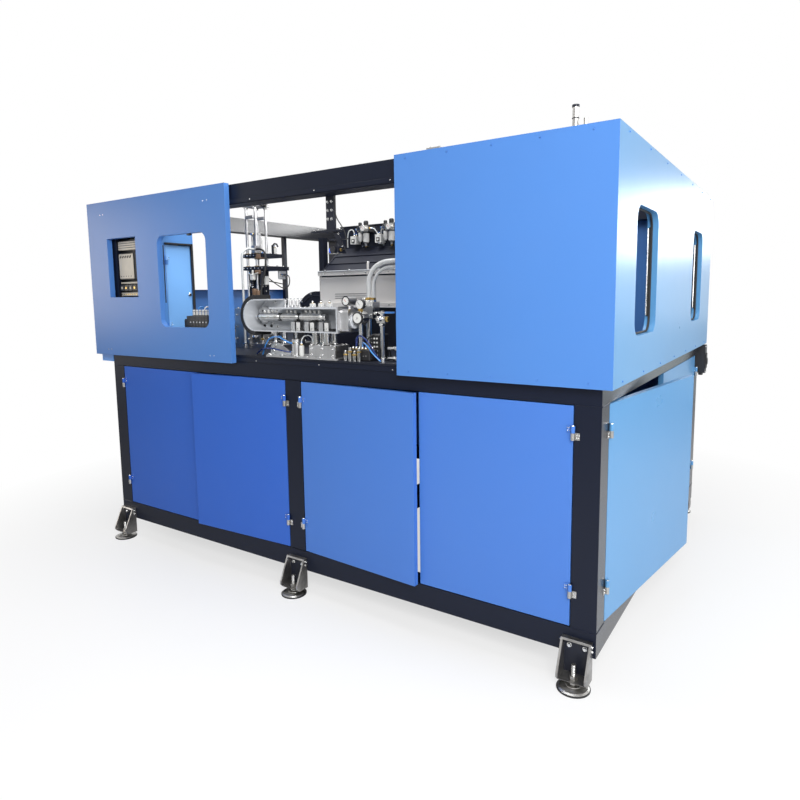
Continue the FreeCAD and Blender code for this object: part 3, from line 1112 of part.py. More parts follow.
# The carriage runs on four rods in the guide block, pushed up by the lift cylinder.
GUIDE_X = LEFT + D.guide_block_left
BASE_TOP = DECK + D.bed_plate
GUIDE_PLACES = [(GUIDE_X + D.guide_rod_inset + D.guide_rod_pitch_x * i,
                 FRONT + D.guide_front + D.guide_rod_y + D.guide_rod_pitch_y * j)
                for i in (0, 1) for j in (0, 1)]
guide_rods = [rod("GuideRod%d" % number, "z", (x, y, BASE_TOP + D.slide_play),
                  D.guide_rod_radius, TRAY_LOW - BASE_TOP - D.slide_play)
              for number, (x, y) in enumerate(GUIDE_PLACES)]
LIFT = (LEFT + D.lift_x, FRONT + D.lift_y)
ROD_FOOT = BASE_TOP + D.cylinder_floor
lift_rod = rod("LiftRod", "z", (LIFT[0], LIFT[1], ROD_FOOT + D.slide_play), D.lift_rod_radius,
               TRAY_LOW - ROD_FOOT - D.slide_play)
sub_part(group("GuideRods", guide_rods + [lift_rod]), "guide_rods")
base_plate = block("LiftPlate", (LEFT + D.base_left, LEFT + D.base_right),
                   (FRONT + D.base_front, TRAY_BACK - D.bed_plate), (DECK, BASE_TOP))
guide_block = block("GuideBlock", (GUIDE_X, GUIDE_X + D.guide_block_width),
                    (FRONT + D.guide_front, FRONT + D.guide_front + D.guide_block_depth),
                    (BASE_TOP, BASE_TOP + D.guide_block_height))
guide_bores = [rod("GuideBore%d" % number, "z", (x, y, BASE_TOP),
                   D.guide_rod_radius + D.bore_play, D.guide_block_height)
               for number, (x, y) in enumerate(GUIDE_PLACES)]
barrel = rod("LiftBarrel", "z", (LIFT[0], LIFT[1], BASE_TOP), D.lift_radius, D.lift_height)
lift_bore = rod("LiftBore", "z", (LIFT[0], LIFT[1], ROD_FOOT), D.lift_rod_radius + D.bore_play,
                D.lift_height)
gusset = prism("Gusset", "XZ_Plane", [
    (0, 0), (D.gusset_width, 0), (D.gusset_width, D.gusset_thickness),
    (D.gusset_width * 0.45, D.gusset_height), (D.gusset_width * 0.1, D.gusset_height),
    (0, D.gusset_height * 0.7)], D.gusset_thickness, backwards=True)
place(gusset, (LEFT + D.gusset_left, FRONT + D.lift_y, BASE_TOP - D.bed_plate / 2))
gusset_foot = block("GussetFoot", (LEFT + D.gusset_left, LEFT + D.base_left),
                    (FRONT + D.lift_y - D.seat_depth, FRONT + D.lift_y + D.seat_depth),
                    (DECK, BASE_TOP))
sub_part(group("LiftBase", [
    fuse("LiftFoot", [base_plate, gusset, gusset_foot]),
    cut("GuideBlockBored", guide_block, guide_bores), cut("LiftCylinder", barrel, [lift_bore])]),
    "lift_base")


# ---------------------------------------------------------------- air fittings

MANIFOLD = (LEFT + D.manifold_x, FRONT + D.manifold_y)
MANIFOLD_LOW = DECK + D.manifold_low
MANIFOLD_TOP = MANIFOLD_LOW + D.manifold_height


def column(name, x, y, height, radius):
    """A round stand with a flange at its foot."""
    return place(revolved(name, [
        (0, 0), (D.column_foot_radius, 0), (D.column_foot_radius, D.column_foot_height),
        (radius, D.column_foot_height), (radius, height), (0, height)]), (x, y, DECK))


manifold = block("Manifold", (MANIFOLD[0] - D.manifold_width / 2,
                              MANIFOLD[0] + D.manifold_width / 2),
                 (MANIFOLD[1] - D.nozzle_radius * 2, MANIFOLD[1] + D.nozzle_radius * 2),
                 (MANIFOLD_LOW, MANIFOLD_TOP))
nozzles = [rod("Nozzle%d" % number, "z", (MANIFOLD[0] + x, MANIFOLD[1], MANIFOLD_TOP),
               D.nozzle_radius, D.nozzle_height)
           for number, x in enumerate((-D.drain_offset, 0, D.drain_offset))]
manifold = fuse("ManifoldNozzles", [manifold] + nozzles)
manifold_column = column("ManifoldColumn", MANIFOLD[0], MANIFOLD[1], D.manifold_low,
                         D.column_radius)
VALVE = (LEFT + D.valve_x, FRONT + D.valve_y)
valve = rod("Valve", "y", (VALVE[0], VALVE[1], DECK + D.valve_level), D.valve_radius,
            D.valve_depth)
valve_rim = rod("ValveFace", "y", (VALVE[0], VALVE[1] - D.lever_height,
                                   DECK + D.valve_level), D.valve_radius * 0.8, D.lever_height)
valve_column = column("ValveColumn", VALVE[0], VALVE[1] + D.valve_depth / 2, D.valve_level,
                      D.column_radius * 0.7)
valve = fuse("ValveUnit", [valve, valve_rim, valve_column])
TAP = (LEFT + D.tap_x, FRONT + D.tap_y)
TAP_TOP = DECK + D.tap_level + D.tap_height
tap_pipe = column("TapPipe", TAP[0], TAP[1], D.tap_level, D.tap_radius)
tap_body = block("TapBody", (TAP[0] - D.tap_body, TAP[0] + D.tap_body),
                 (TAP[1] - D.tap_radius * 1.3, TAP[1] + D.tap_radius * 1.3),
                 (DECK + D.tap_level, TAP_TOP - D.nozzle_height * 1.5))
tap_neck = rod("TapNeck", "z", (TAP[0], TAP[1], TAP_TOP - D.nozzle_height * 1.5), D.tap_radius,
               D.nozzle_height * 1.5)
tap_stem = rod("TapStem", "z", (TAP[0], TAP[1], TAP_TOP), D.pin_radius,
               D.slide_play + D.lever_height)
tap = fuse("Tap", [tap_pipe, tap_body, tap_neck, tap_stem])
drain_bars = []
for number, level in enumerate((D.drain_bar_level, D.column_foot_height)):
    bar = rod("DrainBar%d" % number, "x", (TAP[0] + D.column_foot_radius, TAP[1], DECK + level),
              D.drain_bar_radius, D.drain_bar_length)
    drain_bars.append(bar)
bar_end = TAP[0] + D.column_foot_radius + D.drain_bar_length
bar_stop = block("DrainStop", (bar_end, bar_end + D.column_radius * 2),
                 (TAP[1] - D.column_radius, TAP[1] + D.column_radius),
                 (DECK, DECK + D.drain_bar_level + D.column_radius))
small_fittings = []
for number in range(4):
    x = LEFT + D.fitting_first + D.fitting_pitch * number
    small_fittings.append(rod("Fitting%d" % number, "z", (x, FRONT + D.fitting_y, DECK),
                              D.fitting_radius, D.fitting_height * (1 + number % 2 * 0.4)))
sub_part(group("AirFittings", [manifold, manifold_column, valve, tap, bar_stop] + drain_bars
               + small_fittings), "air_fittings")
lever_low = TAP_TOP + D.slide_play
lever = block("LeverBar", (TAP[0] - D.lever_width / 2, TAP[0] + D.lever_length),
              (TAP[1] - D.lever_width / 2, TAP[1] + D.lever_width / 2),
              (lever_low, lever_low + D.lever_height))
lever_bore = rod("LeverBore", "z", (TAP[0], TAP[1], lever_low), D.pin_radius + D.bore_play,
                 D.lever_height)
sub_part(cut("TapLever", lever, [lever_bore]), "tap_lever")

RECEIVER = (LEFT + D.receiver_x, FRONT + D.receiver_y)
tank = place(revolved("ReceiverTank", [
    (0, 0), (D.receiver_radius * 0.6, 0), (D.receiver_radius * 0.6, D.manifold_height),
    (D.receiver_radius * 0.8, D.manifold_height),
    (D.receiver_radius, D.manifold_height * 1.4),
    (D.receiver_radius, D.receiver_height - D.receiver_radius * 0.35),
    (D.receiver_radius * 0.75, D.receiver_height - D.receiver_radius * 0.1),
    (D.receiver_radius * 0.3, D.receiver_height), (0, D.receiver_height)]),
    (RECEIVER[0], RECEIVER[1], DECK))
PORT_X = RECEIVER[0] - D.receiver_radius - D.nozzle_height
ports = [rod("ReceiverPort%d" % number, "x", (PORT_X, MANIFOLD[1], DECK + level), radius,
             D.port_length)
         for number, (level, radius) in enumerate(((D.air_port_level, D.nozzle_radius),
                                                   (D.drain_port_level, D.tap_radius)))]
sub_part(fuse("Receiver", [tank] + ports), "air_receiver")


# ---------------------------------------------------------------- hoses

HOSE_BENDS = []


def hose(name, points, radius):
    """A round hose along straight runs that tangent arcs join."""
    corners = [Vector(*map(value_of, point)) for point in points]
    edges, bends = [], []
    last = corners[0]
    for before, corner, after in zip(corners, corners[1:], corners[2:]):
        arriving, leaving = corner - before, after - corner
        half_turn = arriving.getAngle(leaving) / 2
        run = min(arriving.Length, leaving.Length) * 0.45
        bend = run / math.tan(half_turn)
        bends.append(bend)
        arriving.normalize()
        leaving.normalize()
        start, end = corner - arriving * run, corner + leaving * run
        inward = leaving - arriving
        inward.normalize()
        middle = corner + inward * (bend / math.cos(half_turn) - bend)
        edges += [Part.LineSegment(last, start).toShape(), Part.Arc(start, middle, end).toShape()]
        last = end
    edges.append(Part.LineSegment(last, corners[-1]).toShape())
    HOSE_BENDS.append((name, min(bends), radius))
    path = doc.addObject("Part::Feature", name + "Path")
    path.Shape = Part.Wire(edges)
    first = corners[1] - corners[0]
    section = doc.addObject("Part::Circle", name + "Section")
    bind(section, "Radius", radius)
    section.Placement = Placement(corners[0], Rotation(Z_AXIS, first))
    swept = doc.addObject("Part::Sweep", name)
    swept.Sections = [section]
    swept.Spine = (path, ["Edge%d" % (number + 1) for number in range(len(edges))])
    swept.Solid = True
    swept.Frenet = False
    return swept


def hose_by_steps(name, start, steps, radius):
    """A hose whose corners are steps in X, Y and Z from its start."""
    points = [tuple(at + step for at, step in zip(start, offset)) for offset in steps]
    return hose(name, points, radius)


NOZZLE_TOP = MANIFOLD_TOP + D.nozzle_height
AIR_END = (PORT_X - MANIFOLD[0], DECK + D.air_port_level - NOZZLE_TOP)
sub_part(hose_by_steps("AirHose", (MANIFOLD[0], MANIFOLD[1], NOZZLE_TOP), [
    (0, 0, 0), (0, 0, 108), (68, 0, 173), (208, 0, AIR_END[1]), (AIR_END[0], 0, AIR_END[1])],
    D.air_hose_radius), "air_hose")
DRAIN_END = (PORT_X - MANIFOLD[0] - D.drain_offset, DECK + D.drain_port_level - NOZZLE_TOP)
sub_part(hose_by_steps("DrainHose", (MANIFOLD[0] + D.drain_offset, MANIFOLD[1], NOZZLE_TOP), [
    (0, 0, 0), (0, 0, 90), (62, 0, 148), (190, 0, DRAIN_END[1]), (DRAIN_END[0], 0, DRAIN_END[1])],
    D.drain_hose_radius), "drain_hose")
CLIP_MIDDLE = CLIP[2] + D.clip_height / 2
HOSE_FALL = DECK + D.gland_height - CLIP_MIDDLE
sub_part(hose_by_steps("TowerHose", (CLIP[0], CLIP_FRONT, CLIP_MIDDLE), [
    (0, 0, 0), (0, -52, 0), (0, -D.hose_reach, -38), (0, -D.hose_reach, HOSE_FALL)],
    D.tower_hose_radius), "tower_hose")
CABLE_START = (CLIP[0] + D.clip_half, CLIP[1] - D.clip_half, CLIP_MIDDLE)
CABLE_X = CABLE_GLAND[0] - CABLE_START[0]
CABLE_Y = CABLE_GLAND[1] - CABLE_START[1]
CABLE_FALL = BED_TOP + D.gland_height - CLIP_MIDDLE
sub_part(hose_by_steps("HeadCable", CABLE_START, [
    (0, 0, 0), (50, 0, 0), (84, -8, -42), (92, -24, -130), (70, -44, -230),
    (86, CABLE_Y, -320), (CABLE_X, CABLE_Y, -410), (CABLE_X, CABLE_Y, CABLE_FALL)],
    D.cable_radius), "head_cable")


# ---------------------------------------------------------------- top beam and end fittings

SENSOR = (LEFT + D.sensor_x, FRONT + D.tube)
ARM_LOW = TOP_UNDER - D.sensor_drop
arm = block("SensorArmBar", (SENSOR[0] - D.sensor_width / 2, SENSOR[0] + D.sensor_width / 2),
            (SENSOR[1], SENSOR[1] + D.sensor_depth), (ARM_LOW, TOP_UNDER + D.sensor_rise))
arm_plate = block("SensorPlate", (SENSOR[0] - D.arm_plate_left, SENSOR[0] + D.arm_plate_right),
                  (SENSOR[1], SENSOR[1] + D.sensor_depth * 2), (ARM_LOW - D.arm_plate, ARM_LOW))
arm_step = block("SensorStep", (SENSOR[0] - D.sensor_width / 2, SENSOR[0] + D.arm_step_right),
                 (SENSOR[1] + D.sensor_depth, SENSOR[1] + D.sensor_depth * 2),
                 (ARM_LOW - D.arm_step - D.brace_sheet, ARM_LOW - D.arm_step))
BRACE_TOP = ARM_LOW - D.arm_plate
brace = prism("Brace", "XZ_Plane", [
    (SENSOR[0], BRACE_TOP), (SENSOR[0] + D.brace_run, BRACE_TOP - D.brace_drop),
    (SENSOR[0] + D.brace_run + D.brace_width * 0.7, BRACE_TOP - D.brace_drop),
    (SENSOR[0] + D.brace_width, BRACE_TOP)], D.brace_sheet, backwards=True,
    offset=-SENSOR[1] - D.sensor_depth)
SENSOR_RIGHT = SENSOR[0] + D.brace_run
sensor_body = block("SensorBody", (SENSOR_RIGHT - D.sensor_body_width, SENSOR_RIGHT),
                    (SENSOR[1] + D.sensor_depth - D.sensor_body_depth,
                     SENSOR[1] + D.sensor_depth),
                    (BRACE_TOP - D.brace_drop, BRACE_TOP - D.brace_drop + D.sensor_body_height))
sub_part(group("SensorArm", [fuse("ArmBracket", [arm, arm_plate, arm_step, brace]),
                             sensor_body]), "sensor_arm")

VENT_Y = FRONT + HALF_TUBE
vents = []
for number, (x, radius, height) in enumerate((
        (D.vent_x, D.vent_radius, D.vent_height),
        (D.vent_x + D.vent_pitch, D.vent_radius * 0.65, D.vent_height / 2))):
    vent = revolved("Vent%d" % number, [
        (0, 0), (radius * 1.6, 0), (radius * 1.6, D.vent_flange), (radius, D.vent_flange),
        (radius, height), (0, height)])
    vents.append(place(vent, (LEFT + x, VENT_Y, TOP)))
cap = block("TopCap", (LEFT + D.cap_left, LEFT + D.cap_left + D.cap_width),
            (VENT_Y - D.cap_height / 2, VENT_Y + D.cap_height / 2), (TOP, TOP + D.cap_height))
sub_part(group("VentPipes", vents + [cap]), "vent_pipes")
SOCKET_REAR = BACK - D.socket_inset
SOCKET_TOP = BEAM_TOP - D.socket_drop
socket = block("Socket", (RIGHT, RIGHT + D.socket_depth),
               (SOCKET_REAR - D.socket_width, SOCKET_REAR),
               (SOCKET_TOP - D.socket_height, SOCKET_TOP))
sub_part(soften("SocketBox", socket, X_AXIS, D.socket_corner), "socket_box")


# ---------------------------------------------------------------- check and export

doc.recompute()
for item in doc.Objects:
    if "Invalid" in item.State or "Error" in item.State:
        raise RuntimeError("%s did not compute" % item.Label)
os.makedirs("parts", exist_ok=True)
for item in SUB_PARTS:
    if item.Shape.isNull() or not item.Shape.isValid():
        raise RuntimeError("%s has no sound shape" % item.Label)
    item.Shape.exportStep("parts/%s.step" % item.Label)
for name, bend, radius in HOSE_BENDS:
    path, tube = doc.getObject(name + "Path").Shape, doc.getObject(name).Shape
    even = math.pi * value_of(radius) ** 2 * path.Length
    print("%s: least bend %.1f mm, length %.0f mm, volume %.4f of an even tube"
          % (name, bend, path.Length, tube.Volume / even))
print("%d sub-parts" % len(SUB_PARTS))
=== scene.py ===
"""Stretch blow moulding machine: materials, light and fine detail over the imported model."""

import itertools
import math
import bmesh
import bpy
from mathutils import Matrix, Vector


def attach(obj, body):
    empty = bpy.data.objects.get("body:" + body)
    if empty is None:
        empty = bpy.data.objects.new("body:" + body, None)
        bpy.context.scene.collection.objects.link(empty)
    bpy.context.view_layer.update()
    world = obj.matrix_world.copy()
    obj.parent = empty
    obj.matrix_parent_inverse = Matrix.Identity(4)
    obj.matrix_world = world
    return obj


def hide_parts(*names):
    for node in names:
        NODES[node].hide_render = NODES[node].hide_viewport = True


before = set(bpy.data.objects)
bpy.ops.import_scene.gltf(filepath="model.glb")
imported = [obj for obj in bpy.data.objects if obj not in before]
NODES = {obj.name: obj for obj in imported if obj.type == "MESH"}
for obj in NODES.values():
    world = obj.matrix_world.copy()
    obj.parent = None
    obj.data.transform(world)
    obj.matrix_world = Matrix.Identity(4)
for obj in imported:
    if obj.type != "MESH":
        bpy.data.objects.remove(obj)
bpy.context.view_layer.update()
SCENE = bpy.context.scene.collection


# ---------------------------------------------------------------- camera

# The photograph's camera, found by fitting the frame's corners: metres, and unit axes.
CAMERA_AT = (2.11065, -3.36963, 1.50225)
CAMERA_RIGHT = (0.83101818, 0.55607054, -0.01394065)
CAMERA_UP = (-0.05452268, 0.10637148, 0.99283049)
CAMERA_LENS_MM = 28.138
SENSOR_MM = 36.0
IMAGE_PX = 800.0
CENTRE_PX = (392.64, 368.64)

right, up = Vector(CAMERA_RIGHT).normalized(), Vector(CAMERA_UP).normalized()
camera = bpy.data.cameras.new("Camera")
camera.lens = CAMERA_LENS_MM
camera.sensor_width = SENSOR_MM
camera.shift_x = (IMAGE_PX / 2 - CENTRE_PX[0]) / IMAGE_PX
camera.shift_y = (CENTRE_PX[1] - IMAGE_PX / 2) / IMAGE_PX
camera.clip_end = 60
camera_object = bpy.data.objects.new("Camera", camera)
camera_object.matrix_world = Matrix.Translation(CAMERA_AT) @ Matrix(
    (right, up, right.cross(up))).transposed().to_4x4()
SCENE.objects.link(camera_object)
bpy.context.scene.camera = camera_object
bpy.context.scene.view_settings.view_transform = "Standard"


# ---------------------------------------------------------------- light

def area_light(name, at, aim, size, watts, colour=(1, 1, 1), only_mirrored=False):
    """A soft box; one that is only mirrored shows in glossy paint and lights nothing."""
    lamp = bpy.data.lights.new(name, "AREA")
    lamp.shape = "RECTANGLE"
    lamp.size, lamp.size_y = size
    lamp.energy = watts
    lamp.color = colour
    lamp_object = bpy.data.objects.new(name, lamp)
    lamp_object.location = at
    lamp_object.rotation_euler = (Vector(aim) - Vector(at)).to_track_quat("-Z", "Y").to_euler()
    lamp_object.visible_diffuse = not only_mirrored
    lamp_object.visible_camera = False
    SCENE.objects.link(lamp_object)


area_light("KeyLight", (3.1, -4.4, 3.4), (1.0, -1.1, 1.5), (2.0, 2.0), 190)
area_light("RightLight", (4.2, -3.0, 2.2), (1.2, -0.8, 1.3), (1.8, 1.8), 50)
area_light("EndLight", (5.0, 0.4, 2.6), (1.5, 0, 1.3), (2.4, 2.0), 85)
area_light("TopLight", (0.3, -0.2, 5.2), (0, -0.2, 1.0), (3.4, 2.6), 130)
area_light("WindowGlare", (3.25, 6.2, 2.43), (1.55, 0.6, 1.8), (1.9, 0.92), 33, only_mirrored=True)
area_light("YardGlare", (3.3, 6.0, 1.2), (1.55, 0.6, 1.0), (1.8, 3.6), 16, (0.80, 0.95, 1.0),
           only_mirrored=True)
area_light("InsideLight", (-0.2, -0.9, 3.2), (0.0, -0.36, 1.5), (0.8, 0.8), 24)
area_light("BeamGlare", (0.63, 2.02, 2.18), (-1.43, 0.2, 2.03), (1.4, 0.30), 17, only_mirrored=True)
area_light("StripGlare", (-3.95, -4.25, 1.8), (-0.45, -1.15, 1.6), (0.34, 2.0), 4,
           (0.45, 0.80, 1.0), only_mirrored=True)
area_light("WallGlare", (-5.6, -3.6, 1.9), (-1.3, -1.15, 1.6), (1.7, 1.6), 48,
           (1.0, 0.90, 0.80), only_mirrored=True)


def lit_world(seen, mirrored, diffuse):
    """A white world: bright to the camera, dimmer in reflections and dimmest as light."""
    world = bpy.data.worlds.new("World")
    bpy.context.scene.world = world
    world.use_nodes = True
    tree = world.node_tree
    path = tree.nodes.new("ShaderNodeLightPath")
    strength = diffuse
    for ray, level in (("Is Glossy Ray", mirrored), ("Is Transmission Ray", seen),
                       ("Is Camera Ray", seen)):
        pick = tree.nodes.new("ShaderNodeMix")
        tree.links.new(path.outputs[ray], pick.inputs["Factor"])
        if strength is diffuse:
            pick.inputs["A"].default_value = diffuse
        else:
            tree.links.new(strength, pick.inputs["A"])
        pick.inputs["B"].default_value = level
        strength = pick.outputs["Result"]
    tree.links.new(strength, tree.nodes["Background"].inputs["Strength"])
    tree.nodes["Background"].inputs["Color"].default_value = (1, 1, 1, 1)


lit_world(seen=1.0, mirrored=0.80, diffuse=0.10)


# ---------------------------------------------------------------- materials

# Where a colour mix has its factor, its two colours and its result.
MIX_FACTOR, MIX_FIRST, MIX_SECOND, MIX_RESULT = 0, 6, 7, 2


class Graph:
    """A material's nodes, linked as they are made."""

    def __init__(self, name):
        self.material = bpy.data.materials.new(name)
        self.material.use_nodes = True
        self.nodes = self.material.node_tree.nodes
        self.shader = self.nodes["Principled BSDF"]
        self.coordinates = self.nodes.new("ShaderNodeTexCoord")
        self.place = self.coordinates.outputs["Object"]

    def feed(self, value, socket):
        """Link a socket, or set it to a constant."""
        if isinstance(value, bpy.types.NodeSocket):
            self.material.node_tree.links.new(value, socket)
        else:
            socket.default_value = value

    def add(self, kind, output, inputs, **settings):
        """A node with its settings made and its inputs fed; gives one of its outputs."""
        node = self.nodes.new("ShaderNode" + kind)
        for name, value in settings.items():
            setattr(node, name, value)
        for name, value in inputs.items():
            self.feed(value, node.inputs[name])
        return node.outputs[output]

    def stretched(self, scale, vector=None):
        """Coordinates scaled by three numbers."""
        return self.add("Mapping", "Vector", {"Scale": scale, "Vector": vector or self.place})

    def noise(self, scale, detail=2.0, roughness=0.5, vector=None):
        return self.add("TexNoise", "Fac", {"Scale": scale, "Detail": detail,
                                            "Roughness": roughness,
                                            "Vector": vector or self.place})

    def remap(self, value, low, high, to_low, to_high):
        return self.add("MapRange", "Result", {"Value": value, "From Min": low, "From Max": high,
                                               "To Min": to_low, "To Max": to_high})

    def blend(self, factor, first, second):
        first, second = (value if isinstance(value, bpy.types.NodeSocket) else (*value, 1)
                         for value in (first, second))
        return self.add("Mix", MIX_RESULT, {MIX_FACTOR: factor, MIX_FIRST: first,
                                            MIX_SECOND: second}, data_type="RGBA")

    def rounded(self, radius):
        """Normals that round every sharp edge a little."""
        return self.add("Bevel", "Normal", {"Radius": radius}, samples=4)

    def bump(self, height, distance, normal):
        return self.add("Bump", "Normal", {"Height": height, "Distance": distance,
                                           "Normal": normal})

    def finish(self, **sockets):
        """Feed the shader, whose sockets are named with underscores for spaces."""
        for name, value in sockets.items():
            self.feed(value, self.shader.inputs[name.replace("_", " ")])
        return self.material


def shade(colour, factor):
    return tuple(channel * factor for channel in colour)


def painted(name, colour, roughness, orange_peel=0.00004, drift=0.03, dust=(0.34, 0.34, 0.34),
            specular=0.5):
    """Sprayed paint: slow colour drift, orange peel, hand marks and a little dust."""
    graph = Graph(name)
    marks = graph.remap(graph.noise(9.0, 3), 0.0, 1.0, 0, 0.02)
    body = graph.blend(graph.noise(1.3, 3), shade(colour, 1 - drift), shade(colour, 1 + drift))
    return graph.finish(
        Base_Color=graph.blend(marks, body, dust), Specular_IOR_Level=specular,
        Roughness=graph.remap(graph.noise(5.5, 3), 0.0, 1.0, roughness - 0.02, roughness + 0.03),
        Normal=graph.bump(graph.noise(260, 2), orange_peel, graph.rounded(0.0016)))


def metal(name, colour, roughness, grain=(40, 40, 900), depth=0.00002, tarnish=0.75):
    """Worked metal: fine tool marks along one way and cloudy tarnish."""
    graph = Graph(name)
    marks = graph.noise(1.0, 3, 0.7, graph.stretched(grain))
    cloud = graph.remap(graph.noise(14, 4, 0.6), 0.4, 0.72, 0, 1)
    return graph.finish(
        Base_Color=graph.blend(cloud, colour, shade(colour, tarnish)), Metallic=1.0,
        Roughness=graph.remap(marks, 0.3, 0.7, roughness - 0.07, roughness + 0.1),
        Normal=graph.bump(marks, depth, graph.rounded(0.0008)))


def plastic(name, colour, roughness, texture=700, depth=0.00003, **more):
    """Moulded plastic with a spark-eroded grain."""
    graph = Graph(name)
    return graph.finish(
        Base_Color=graph.blend(graph.noise(22, 3), shade(colour, 0.9), shade(colour, 1.1)),
        Roughness=graph.remap(graph.noise(60, 2), 0.3, 0.7, roughness - 0.05, roughness + 0.07),
        Normal=graph.bump(graph.noise(texture, 2), depth, graph.rounded(0.0006)), **more)


def braided(name, light, dark):
    """Clear hose over a woven braid that runs both ways round it."""
    graph = Graph(name)
    along = graph.coordinates.outputs["UV"]
    ways = [graph.add("TexWave", "Fac", {"Scale": 1.0, "Vector": graph.stretched(scale, along)},
                      bands_direction="DIAGONAL") for scale in ((60, 3, 1), (-60, 3, 1))]
    both = graph.add("Math", 0, dict(enumerate(ways)), operation="MAXIMUM")
    threads = graph.remap(both, 0.35, 0.9, 0, 1)
    return graph.finish(
        Base_Color=graph.blend(threads, dark, light), Roughness=0.22, Coat_Weight=0.6,
        Coat_Roughness=0.08, Normal=graph.bump(threads, 0.0004, graph.rounded(0.0004)))


BLUE = painted("BluePaint", (0.080, 0.226, 0.590), 0.30, specular=0.25)
# Shaded copies of the panel blue: painted shade on the lower front doors, darkest on doors 1 and 2
# to the left.
DOOR_BLUE_SHADED = painted("DoorBlueShaded", (0.068, 0.194, 0.590), 0.30, specular=0.20)
FAR_DOOR_BLUE_DEEP_SHADE = painted("FarDoorBlueDeepShade", (0.042, 0.140, 0.570), 0.30, specular=0.11)
# Brighter copies of the panel blue: painted light on the cabinet seen through the door's window,
# brightest on the hatch.
CABINET_BLUE_LIT = painted("CabinetBlueLit", (0.11, 0.33, 0.78), 0.34)
HATCH_BLUE_LIT = painted("HatchBlueLit", (0.21, 0.48, 0.92), 0.34)
# A greener, glossier copy of the panel blue: painted light on the right end wall and its doors.
END_BLUE_LIT = painted("EndBlueLit", (0.100, 0.285, 0.540), 0.28, specular=0.38,
                   dust=(0.104, 0.29, 0.54), orange_peel=0.00001)
# A lighter, glossier copy of the frame paint, put only on faces that catch light: painted sheen.
FRAME_SHEEN = painted("FrameSheen", (0.020, 0.021, 0.026), 0.24, dust=(0.05, 0.055, 0.07),
                      specular=0.75)
FRAME_PAINT = painted("FramePaint", (0.005, 0.008, 0.020), 0.38, dust=(0.04, 0.045, 0.06),
                      specular=0.22)
DECK_PAINT = painted("DeckPaint", (0.007, 0.009, 0.018), 0.46, dust=(0.04, 0.04, 0.05),
                     specular=0.25)
OVEN_GREY = painted("OvenGrey", (0.70, 0.68, 0.66), 0.30, orange_peel=0.0001)
PALE_GREY = painted("PaleGreyPaint", (0.52, 0.54, 0.57), 0.36, orange_peel=0.0002)
BLACK_PAINT = painted("BlackPaint", (0.010, 0.012, 0.022), 0.40, dust=(0.05, 0.05, 0.06),
                      specular=0.3)
BEIGE_PAINT = painted("BeigePaint", (0.62, 0.56, 0.47), 0.5)
TAN = painted("TanSpacer", (0.20, 0.12, 0.07), 0.5, dust=(0.3, 0.22, 0.16))
STEEL = metal("ZincSteel", (0.50, 0.49, 0.47), 0.34)
FOOT_STEEL = metal("FootSteel", (0.42, 0.41, 0.40), 0.38, tarnish=0.45)
ALUMINIUM = metal("MilledAluminium", (0.60, 0.60, 0.61), 0.32, grain=(500, 30, 500))
BRIGHT = metal("BrightSteel", (0.74, 0.74, 0.73), 0.14, depth=0.000008)
BRASS = metal("Brass", (0.52, 0.36, 0.12), 0.26, grain=(200, 200, 300))
BLACK = plastic("BlackPlastic", (0.014, 0.014, 0.016), 0.42)
WHITE = plastic("WhitePlastic", (0.72, 0.72, 0.70), 0.36)
BEIGE = plastic("BeigePlastic", (0.66, 0.60, 0.50), 0.45)
BLUE_PLASTIC = plastic("BluePlastic", (0.06, 0.22, 0.60), 0.34)
RED = plastic("RedPlastic", (0.50, 0.03, 0.02), 0.36)
RUBBER = plastic("Rubber", (0.010, 0.010, 0.011), 0.62, 400, 0.00008)
CLEAR_TUBE = plastic("ClearTube", (0.62, 0.64, 0.64), 0.16, 90, 0.00002, Coat_Weight=0.5)
BLUE_TUBE = plastic("BlueTube", (0.05, 0.24, 0.62), 0.2, 90, 0.00002, Coat_Weight=0.4)
DARK_TUBE = plastic("DarkBlueTube", (0.01, 0.03, 0.16), 0.24, 90, 0.00002)
AIR_HOSE = braided("BraidedHose", (0.72, 0.73, 0.73), (0.40, 0.42, 0.43))
BLUE_LAMP = plastic("BlueLamp", (0.03, 0.10, 0.62), 0.12, Emission_Color=(0.05, 0.16, 1.0, 1),
                    Emission_Strength=0.7)


# ---------------------------------------------------------------- places

QUARTERS, SIXTHS = range(45, 360, 90), range(0, 360, 60)
DIAL = [-40 + 32.5 * step for step in range(9)]


def vectors(places):
    """One place, or a list of them, as vectors."""
    return [Vector(place) for place in (places if isinstance(places, list) else [places])]


def moved(places, x=0.0, y=0.0, z=0.0):
    """The same places, shifted."""
    return [place + Vector((x, y, z)) for place in vectors(places)]


def twice(places, **shift):
    """The places and, after them, the same places shifted."""
    return vectors(places) + moved(places, **shift)


def row(starts, count, x=0.0, y=0.0, z=0.0):
    """Evenly spaced places from each start."""
    return [start + Vector((x, y, z)) * number for start in vectors(starts)
            for number in range(count)]


def every(*spans):
    """Every combination of three coordinates, each one number or a tuple of them."""
    return [Vector(place) for place in itertools.product(
        *(span if isinstance(span, tuple) else (span,) for span in spans))]


def around(centre, radius, angles, flat="xz"):
    """Places on a circle in a plane, at angles in degrees."""
    places = []
    for angle in map(math.radians, angles):
        first, second = radius * math.cos(angle), radius * math.sin(angle)
        places.append(Vector(centre) + Vector({
            "xz": (first, 0, second), "xy": (first, second, 0), "yz": (0, first, second)}[flat]))
    return places


def along_axis(axis):
    """The turn that takes Z to an axis given by its letter or as a vector."""
    ways = {"x": (1, 0, 0), "y": (0, 1, 0), "z": (0, 0, 1),
            "-x": (-1, 0, 0), "-y": (0, -1, 0), "-z": (0, 0, -1)}
    way = Vector(ways[axis] if isinstance(axis, str) else axis)
    return way.to_track_quat("Z", "Y").to_matrix()


def circle(radius, sides):
    """Points round the origin."""
    return around((0, 0, 0), radius, [360 * side / sides for side in range(sides)], "xy")


# ---------------------------------------------------------------- pieces

